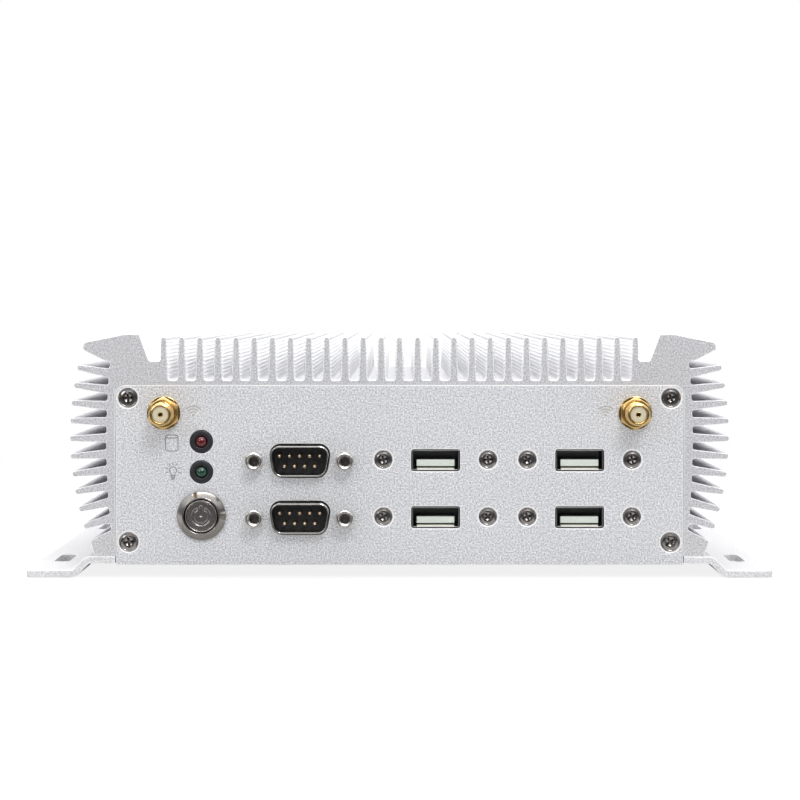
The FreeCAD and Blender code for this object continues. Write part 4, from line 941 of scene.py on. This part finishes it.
def make_cap():
    """The cap: an engraved face in fine rings, a turned groove around it, skirt and stem."""
    low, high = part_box("power_button_cap")
    middle = (low + high) / 2
    rim = (high.x - low.x) / 2
    segments = 192
    verts = [(0, 0, -sign_depth(0, 0))]
    rings = []
    face_rim = 3.86 * MM
    skirt_end = -3.2 * MM
    stem = 2.0 * MM
    count = 66
    for number in range(1, count + 1):
        radius = face_rim * number / count
        rings.append((radius, 0.0, True))
    rings += [
        (3.94 * MM, -0.16 * MM, False),
        (4.02 * MM, -0.20 * MM, False),
        (4.09 * MM, -0.13 * MM, False),
        (4.16 * MM, -0.05 * MM, False),
        (4.24 * MM, -0.01 * MM, False),
        (4.31 * MM, 0.0, False),
        (4.38 * MM, -0.04 * MM, False),
        (4.44 * MM, -0.12 * MM, False),
        (rim, -0.28 * MM, False),
        (rim, skirt_end, False),
        (stem, skirt_end, False),
        (stem, low.y - high.y, False),
    ]
    for radius, height, engraved in rings:
        for step in range(segments):
            angle = 2 * math.pi * step / segments
            x, y = radius * math.cos(angle), radius * math.sin(angle)
            depth = sign_depth(x, y) if engraved else 0.0
            verts.append((x, y, height - depth))
    verts.append((0, 0, low.y - high.y))
    faces = [(0, 1 + i, 1 + (i + 1) % segments) for i in range(segments)]
    for ring in range(len(rings) - 1):
        start = 1 + ring * segments
        for i in range(segments):
            after = (i + 1) % segments
            faces.append((start + i, start + segments + i, start + segments + after, start + after))
    start = 1 + (len(rings) - 1) * segments
    faces += [(len(verts) - 1, start + (i + 1) % segments, start + i) for i in range(segments)]
    mesh = bpy.data.meshes.new("cap")
    mesh.from_pydata(verts, [], faces)
    orient(mesh)
    upright = Matrix(((1, 0, 0, middle.x), (0, 0, -1, low.y), (0, 1, 0, middle.z), (0, 0, 0, 1)))
    mesh.transform(upright)
    mesh.materials.append(cap_steel)
    shade(mesh, 50)
    piece = link_mesh("power_button_cap_engraved", mesh)
    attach(piece, "power_button")
    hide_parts("power_button_cap")


make_bezel()
make_cap()
soften(dress("power_button_nut", stainless), 0.2 * MM)
soften(dress("power_button_contact_block", black_moulding), 0.3 * MM)

# ---------------------------------------------------------------- serial ports
# Nickel-plated drawn shells with a rounded lip, black moulded inserts, gold pins with rounded
# tips and hexagonal jackscrews with a threaded bore.

nickel = finish_material(
    "bright_nickel", (0.68, 0.67, 0.64), (0.78, 0.77, 0.74), 1.0, (0.10, 0.18), 0.8 * MM, 0.004
)
thread_dark = finish_material(
    "thread_shadow", (0.34, 0.31, 0.29), (0.46, 0.42, 0.40), 1.0, (0.35, 0.5), 0.2 * MM, 0.1
)
pin_gold = finish_material(
    "pin_gold", (0.70, 0.54, 0.38), (0.82, 0.66, 0.48), 1.0, (0.26, 0.36), 0.5 * MM, 0.01
)

PIN_RADIUS = 0.51 * MM
PIN_DOME = 0.6 * MM
DOME_STEPS = 6


def make_pins(node):
    """Round pins with a domed tip, in place of the plain ones of the CAD node."""
    places = []
    length = 0
    for low, high in islands(node):
        middle = (low + high) / 2
        length = high.y - low.y
        places.append(((middle.x, low.y, middle.z), pointing(OUT)))
    outline = []
    for step in range(DOME_STEPS + 1):
        angle = math.pi / 2 * step / DOME_STEPS
        outline.append((PIN_RADIUS * math.sin(angle), -PIN_DOME * (1 - math.cos(angle))))
    outline += [(PIN_RADIUS, -length), (0, -length)]
    pins = repeated(f"{node}_domed", lathe_mesh("pin", outline, 24), places, pin_gold)
    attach(pins, "chassis")
    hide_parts(node)


def jackscrew_places():
    places = []
    for low, high in islands("jackscrews"):
        middle = (low + high) / 2
        ahead = middle.y < 0
        y = low.y if ahead else high.y
        places.append(((middle.x, y, middle.z), pointing(OUT if ahead else BACK)))
    return places


def make_bore_threads():
    """The thread inside each jackscrew's bore, under a polished conical mouth."""
    inner = 1.16 * MM
    outer = 1.42 * MM
    bore = 1.84 * MM
    mouth_end = -0.90 * MM
    mouth = [(bore, -0.01 * MM), (inner, -0.66 * MM), (inner, mouth_end), (outer, mouth_end)]
    mouth += [(outer, -0.52 * MM), (bore, -0.08 * MM)]
    ring = lathe_mesh("bore_mouth", mouth, 48, closed=True)
    mouths = repeated("jackscrew_mouths", ring, jackscrew_places(), nickel)
    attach(mouths, "chassis")

    pitch = 0.635 * MM
    rows = 36
    segments = 40
    start = -0.85 * MM
    stop = -3.9 * MM
    verts = []
    for row in range(rows + 1):
        height = start + (stop - start) * row / rows
        for step in range(segments):
            phase = (height / pitch + step / segments) % 1.0
            radius = inner + (outer - inner) * abs(2 * phase - 1)
            angle = 2 * math.pi * step / segments
            verts.append((radius * math.cos(angle), radius * math.sin(angle), height))
    verts.append((0, 0, stop))
    faces = []
    for row in range(rows):
        for step in range(segments):
            after = (step + 1) % segments
            first = row * segments
            second = first + segments
            faces.append((first + step, first + after, second + after, second + step))
    last = rows * segments
    faces += [(last + step, last + (step + 1) % segments, len(verts) - 1) for step in range(segments)]
    mesh = bpy.data.meshes.new("bore_thread")
    mesh.from_pydata(verts, [], faces)
    threads = repeated("jackscrew_threads", mesh, jackscrew_places(), thread_dark, 60)
    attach(threads, "chassis")


for name in ("upper", "lower"):
    soften(dress(f"serial_shell_{name}", nickel), 0.28 * MM, free=True)
    soften(dress(f"serial_insulator_{name}", black_moulding), 0.10 * MM)
    make_pins(f"serial_pins_{name}")
soften(dress("jackscrews", nickel), 0.08 * MM, 25)
make_bore_threads()

# ---------------------------------------------------------------- USB sockets
# Folded steel sleeves around pale moulded tongues, held by black mounts behind the panel. The
# flared lower lip of each sleeve is a strip of its own, repeated in the four mouths.


def make_tongue_finish():
    """Pale plastic on the tongue's front; it darkens with depth, as in a shaded mouth."""
    made = finish_material(
        "socket_insert", (0.46, 0.50, 0.45), (0.54, 0.58, 0.53), 0.0, (0.35, 0.5), 0.25 * MM, 0.05
    )
    tree = made.node_tree
    shader = tree.nodes["Principled BSDF"]
    colour = shader.inputs["Base Color"].links[0].from_socket
    where = separated(tree, new_node(tree, "ShaderNodeTexCoord").outputs["Object"])
    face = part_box("usb_insulator_1")[0].y
    depth = math_node(tree, "SUBTRACT", where["Y"], face)
    share = math_node(tree, "DIVIDE", depth.outputs[0], 3.0 * MM)
    shadow = ramp_node(tree, share.outputs[0], [(0.05, 1, 1, 1), (0.30, 0.34, 0.34, 0.35)])
    shaded = mix_colours(tree, 1.0, colour, shadow.outputs["Color"], blend_type="MULTIPLY")
    tree.links.new(shaded, shader.inputs["Base Color"])
    return made


white_insert = make_tongue_finish()
sleeve_metal = finish_material(
    "sleeve_steel", (0.24, 0.24, 0.24), (0.32, 0.32, 0.32), 1.0, (0.34, 0.46), 0.4 * MM, 0.01
)
# Painted highlight: the steel lip is coloured pale cream, as if lit by the top light it faces.
lip_painted_highlight = finish_material(
    "sleeve_lip", (0.90, 0.88, 0.78), (0.95, 0.93, 0.84), 0.2, (0.25, 0.4), 0.4 * MM, 0.03
)


def make_sleeve_lips():
    """The flared lower lip of each sleeve, a folded strip that faces up and out."""
    half = 5.15 * MM
    deep = 2.4 * MM
    section = [
        (0.0, 0.0),
        (0.0, 0.16 * MM),
        (0.9 * MM, 0.38 * MM),
        (deep, 0.40 * MM),
        (deep, 0.0),
    ]
    verts = [(x, y, z) for x in (-half, half) for y, z in section]
    count = len(section)
    faces = [tuple(range(count)), tuple(range(2 * count - 1, count - 1, -1))]
    for i in range(count):
        after = (i + 1) % count
        faces.append((i, after, count + after, count + i))
    mesh = bpy.data.meshes.new("sleeve_lip")
    mesh.from_pydata(verts, [], faces)
    orient(mesh)
    places = []
    for number in range(1, 5):
        low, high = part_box(f"usb_shell_{number}")
        wall = 0.30 * MM
        places.append((((low.x + high.x) / 2, low.y + 0.03 * MM, low.z + wall), (0, 0, 0)))
    lips = repeated("usb_sleeve_lips", mesh, places, lip_painted_highlight)
    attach(lips, "chassis")


for number in range(1, 5):
    soften(dress(f"usb_shell_{number}", sleeve_metal), 0.10 * MM)
    soften(dress(f"usb_insulator_{number}", white_insert), 0.12 * MM)
make_sleeve_lips()
soften(dress("usb_mounts", black_moulding), 0.3 * MM)

# ---------------------------------------------------------------- signs on the front
# Thin grey printed signs: radio waves beside each antenna jack, a disk beside the upper lamp
# and a lit bulb beside the lower one.

ink = finish_material(
    "sign_ink", (0.15, 0.15, 0.16), (0.21, 0.21, 0.22), 0.0, (0.5, 0.65), 0.25 * MM, 0.05
)
pale_ink = finish_material(
    "pale_sign_ink", (0.34, 0.33, 0.31), (0.40, 0.39, 0.37), 0.0, (0.5, 0.65), 0.25 * MM, 0.05
)
INK_THICK = 0.012 * MM
LINE = 0.24 * MM
THIN_LINE = 0.22 * MM


def stroke(points, width):
    """A flat line of an even width through points of the panel's plane, as (verts, faces)."""
    verts = []
    for number, point in enumerate(points):
        before = Vector(points[max(number - 1, 0)])
        after = Vector(points[min(number + 1, len(points) - 1)])
        along = (after - before).normalized()
        across = Vector((-along.y, along.x)) * (width / 2)
        verts += [Vector(point) + across, Vector(point) - across]
    faces = [(2 * i, 2 * i + 1, 2 * i + 3, 2 * i + 2) for i in range(len(points) - 1)]
    return verts, faces


def arc(x, z, radius, start, stop, tall=1.0, steps=24):
    """Points along an arc from one angle to another in degrees."""
    points = []
    for step in range(steps + 1):
        angle = math.radians(start + (stop - start) * step / steps)
        points.append((x + radius * math.cos(angle), z + radius * tall * math.sin(angle)))
    return points


def make_sign(name, lines, finish=ink):
    """Lifts a set of (points, width) lines off the panel as one thin printed piece."""
    work = bmesh.new()
    for points, width in lines:
        verts, faces = stroke(points, width)
        made = [work.verts.new((v.x, front_y - INK_THICK, v.y)) for v in verts]
        for face in faces:
            work.faces.new([made[i] for i in face])
    rim = [edge for edge in work.edges if edge.is_boundary]
    spread = bmesh.ops.extrude_edge_only(work, edges=rim)
    for vert in spread["geom"]:
        if isinstance(vert, bmesh.types.BMVert):
            vert.co.y = front_y + INK_THICK
    bmesh.ops.recalc_face_normals(work, faces=work.faces)
    mesh = bpy.data.meshes.new(name)
    work.to_mesh(mesh)
    work.free()
    mesh.materials.append(finish)
    piece = link_mesh(name, mesh)
    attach(piece, "chassis")


def radio_sign(name, x, z):
    low = z - 1.5 * MM
    lines = [(arc(x, low, reach * MM, 40, 140, 0.95), 0.36 * MM) for reach in (1.0, 1.8, 2.6)]
    lines.append((arc(x, low, 0.2 * MM, 0, 360), 0.34 * MM))
    make_sign(name, lines, pale_ink)


def disk_sign(x, z):
    half = 1.72 * MM
    tall = 1.80 * MM
    lines = [
        (arc(x, z + tall, half, 0, 360, 0.26, 36), LINE),
        (arc(x, z - tall, half, 180, 360, 0.26), LINE),
        ([(x - half, z + tall), (x - half, z - tall)], LINE),
        ([(x + half, z + tall), (x + half, z - tall)], LINE),
    ]
    make_sign("disk_sign", lines)


def bulb_sign(x, z):
    globe = arc(x, z + 0.35 * MM, 0.95 * MM, -55, 235, 1.0, 30)
    foot = [(x + 0.55 * MM, z - 0.45 * MM), (x + 0.50 * MM, z - 1.65 * MM)]
    lines = [(globe, LINE), (foot, THIN_LINE)]
    lines.append(([(2 * x - px, pz) for px, pz in foot], THIN_LINE))
    for level in (-1.15, -1.65, -2.05):
        lines.append(([(x - 0.5 * MM, z + level * MM), (x + 0.5 * MM, z + level * MM)], 0.34 * MM))
    for degrees in (-20, 20, 60, 90, 120, 160, 200):
        angle = math.radians(degrees)
        ray = Vector((math.cos(angle), math.sin(angle)))
        centre = Vector((x, z + 0.35 * MM))
        ends = [tuple(centre + ray * reach * MM) for reach in (1.45, 2.25)]
        lines.append((ends, LINE))
    make_sign("bulb_sign", lines)


jack_low, jack_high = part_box("antenna_jack_right")
jack_x = (jack_low.x + jack_high.x) / 2
jack_z = (jack_low.z + jack_high.z) / 2
radio_sign("radio_sign_left", -jack_x + 8.1 * MM, jack_z + 0.9 * MM)
radio_sign("radio_sign_right", jack_x - 8.1 * MM, jack_z + 0.9 * MM)
drive_low, drive_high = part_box("lamp_holder_drive")
power_low, power_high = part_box("lamp_holder_power")
disk_sign(drive_low.x - 5.0 * MM, (drive_low.z + drive_high.z) / 2 - 0.4 * MM)
bulb_sign(power_low.x - 4.7 * MM, (power_low.z + power_high.z) / 2 + 0.1 * MM)

# ---------------------------------------------------------------- main board and drive
# Green laminate board with its processor, memory, radio card and drive, closed in the housing.
# The CAD nodes keep their form and get softened edges and their own finishes.

laminate = finish_material(
    "solder_mask", (0.012, 0.075, 0.035), (0.020, 0.115, 0.055), 0.0, (0.25, 0.4), 0.8 * MM, 0.05
)
chip_epoxy = finish_material(
    "chip_epoxy", (0.022, 0.022, 0.025), (0.035, 0.035, 0.040), 0.0, (0.4, 0.55), 0.2 * MM, 0.08
)
milled_aluminium = finish_material(
    "milled_aluminium", (0.55, 0.56, 0.58), (0.68, 0.69, 0.71), 1.0, (0.28, 0.42), 0.5 * MM, 0.08
)
silicone = finish_material(
    "silicone_pad", (0.24, 0.29, 0.40), (0.30, 0.36, 0.48), 0.0, (0.6, 0.75), 0.4 * MM, 0.1
)

for node, finish in (
    ("main_board", laminate),
    ("memory_module", laminate),
    ("wireless_card", laminate),
    ("processor", chip_epoxy),
    ("memory_socket", black_moulding),
    ("card_socket", black_moulding),
    ("thermal_pad", silicone),
    ("heat_block", milled_aluminium),
    ("storage_drive", milled_aluminium),
    ("board_standoffs", stainless),
    ("board_screws", screw_metal),
):
    soften(dress(node, finish), 0.12 * MM)

# ---------------------------------------------------------------- rear connectors
# Nickel-plated network, video and USB sockets of the main board, a display port with its
# jackscrews and a round supply inlet, all in the rear panel's cut-outs.

for node, finish in (
    ("lan_jacks", nickel),
    ("video_socket", nickel),
    ("rear_usb_ports", nickel),
    ("display_shell", nickel),
    ("display_insulator", black_moulding),
    ("supply_jack", black_moulding),
):
    soften(dress(node, finish), 0.15 * MM)


def plain(box):
    return [[float(value) for value in corner] for corner in box]
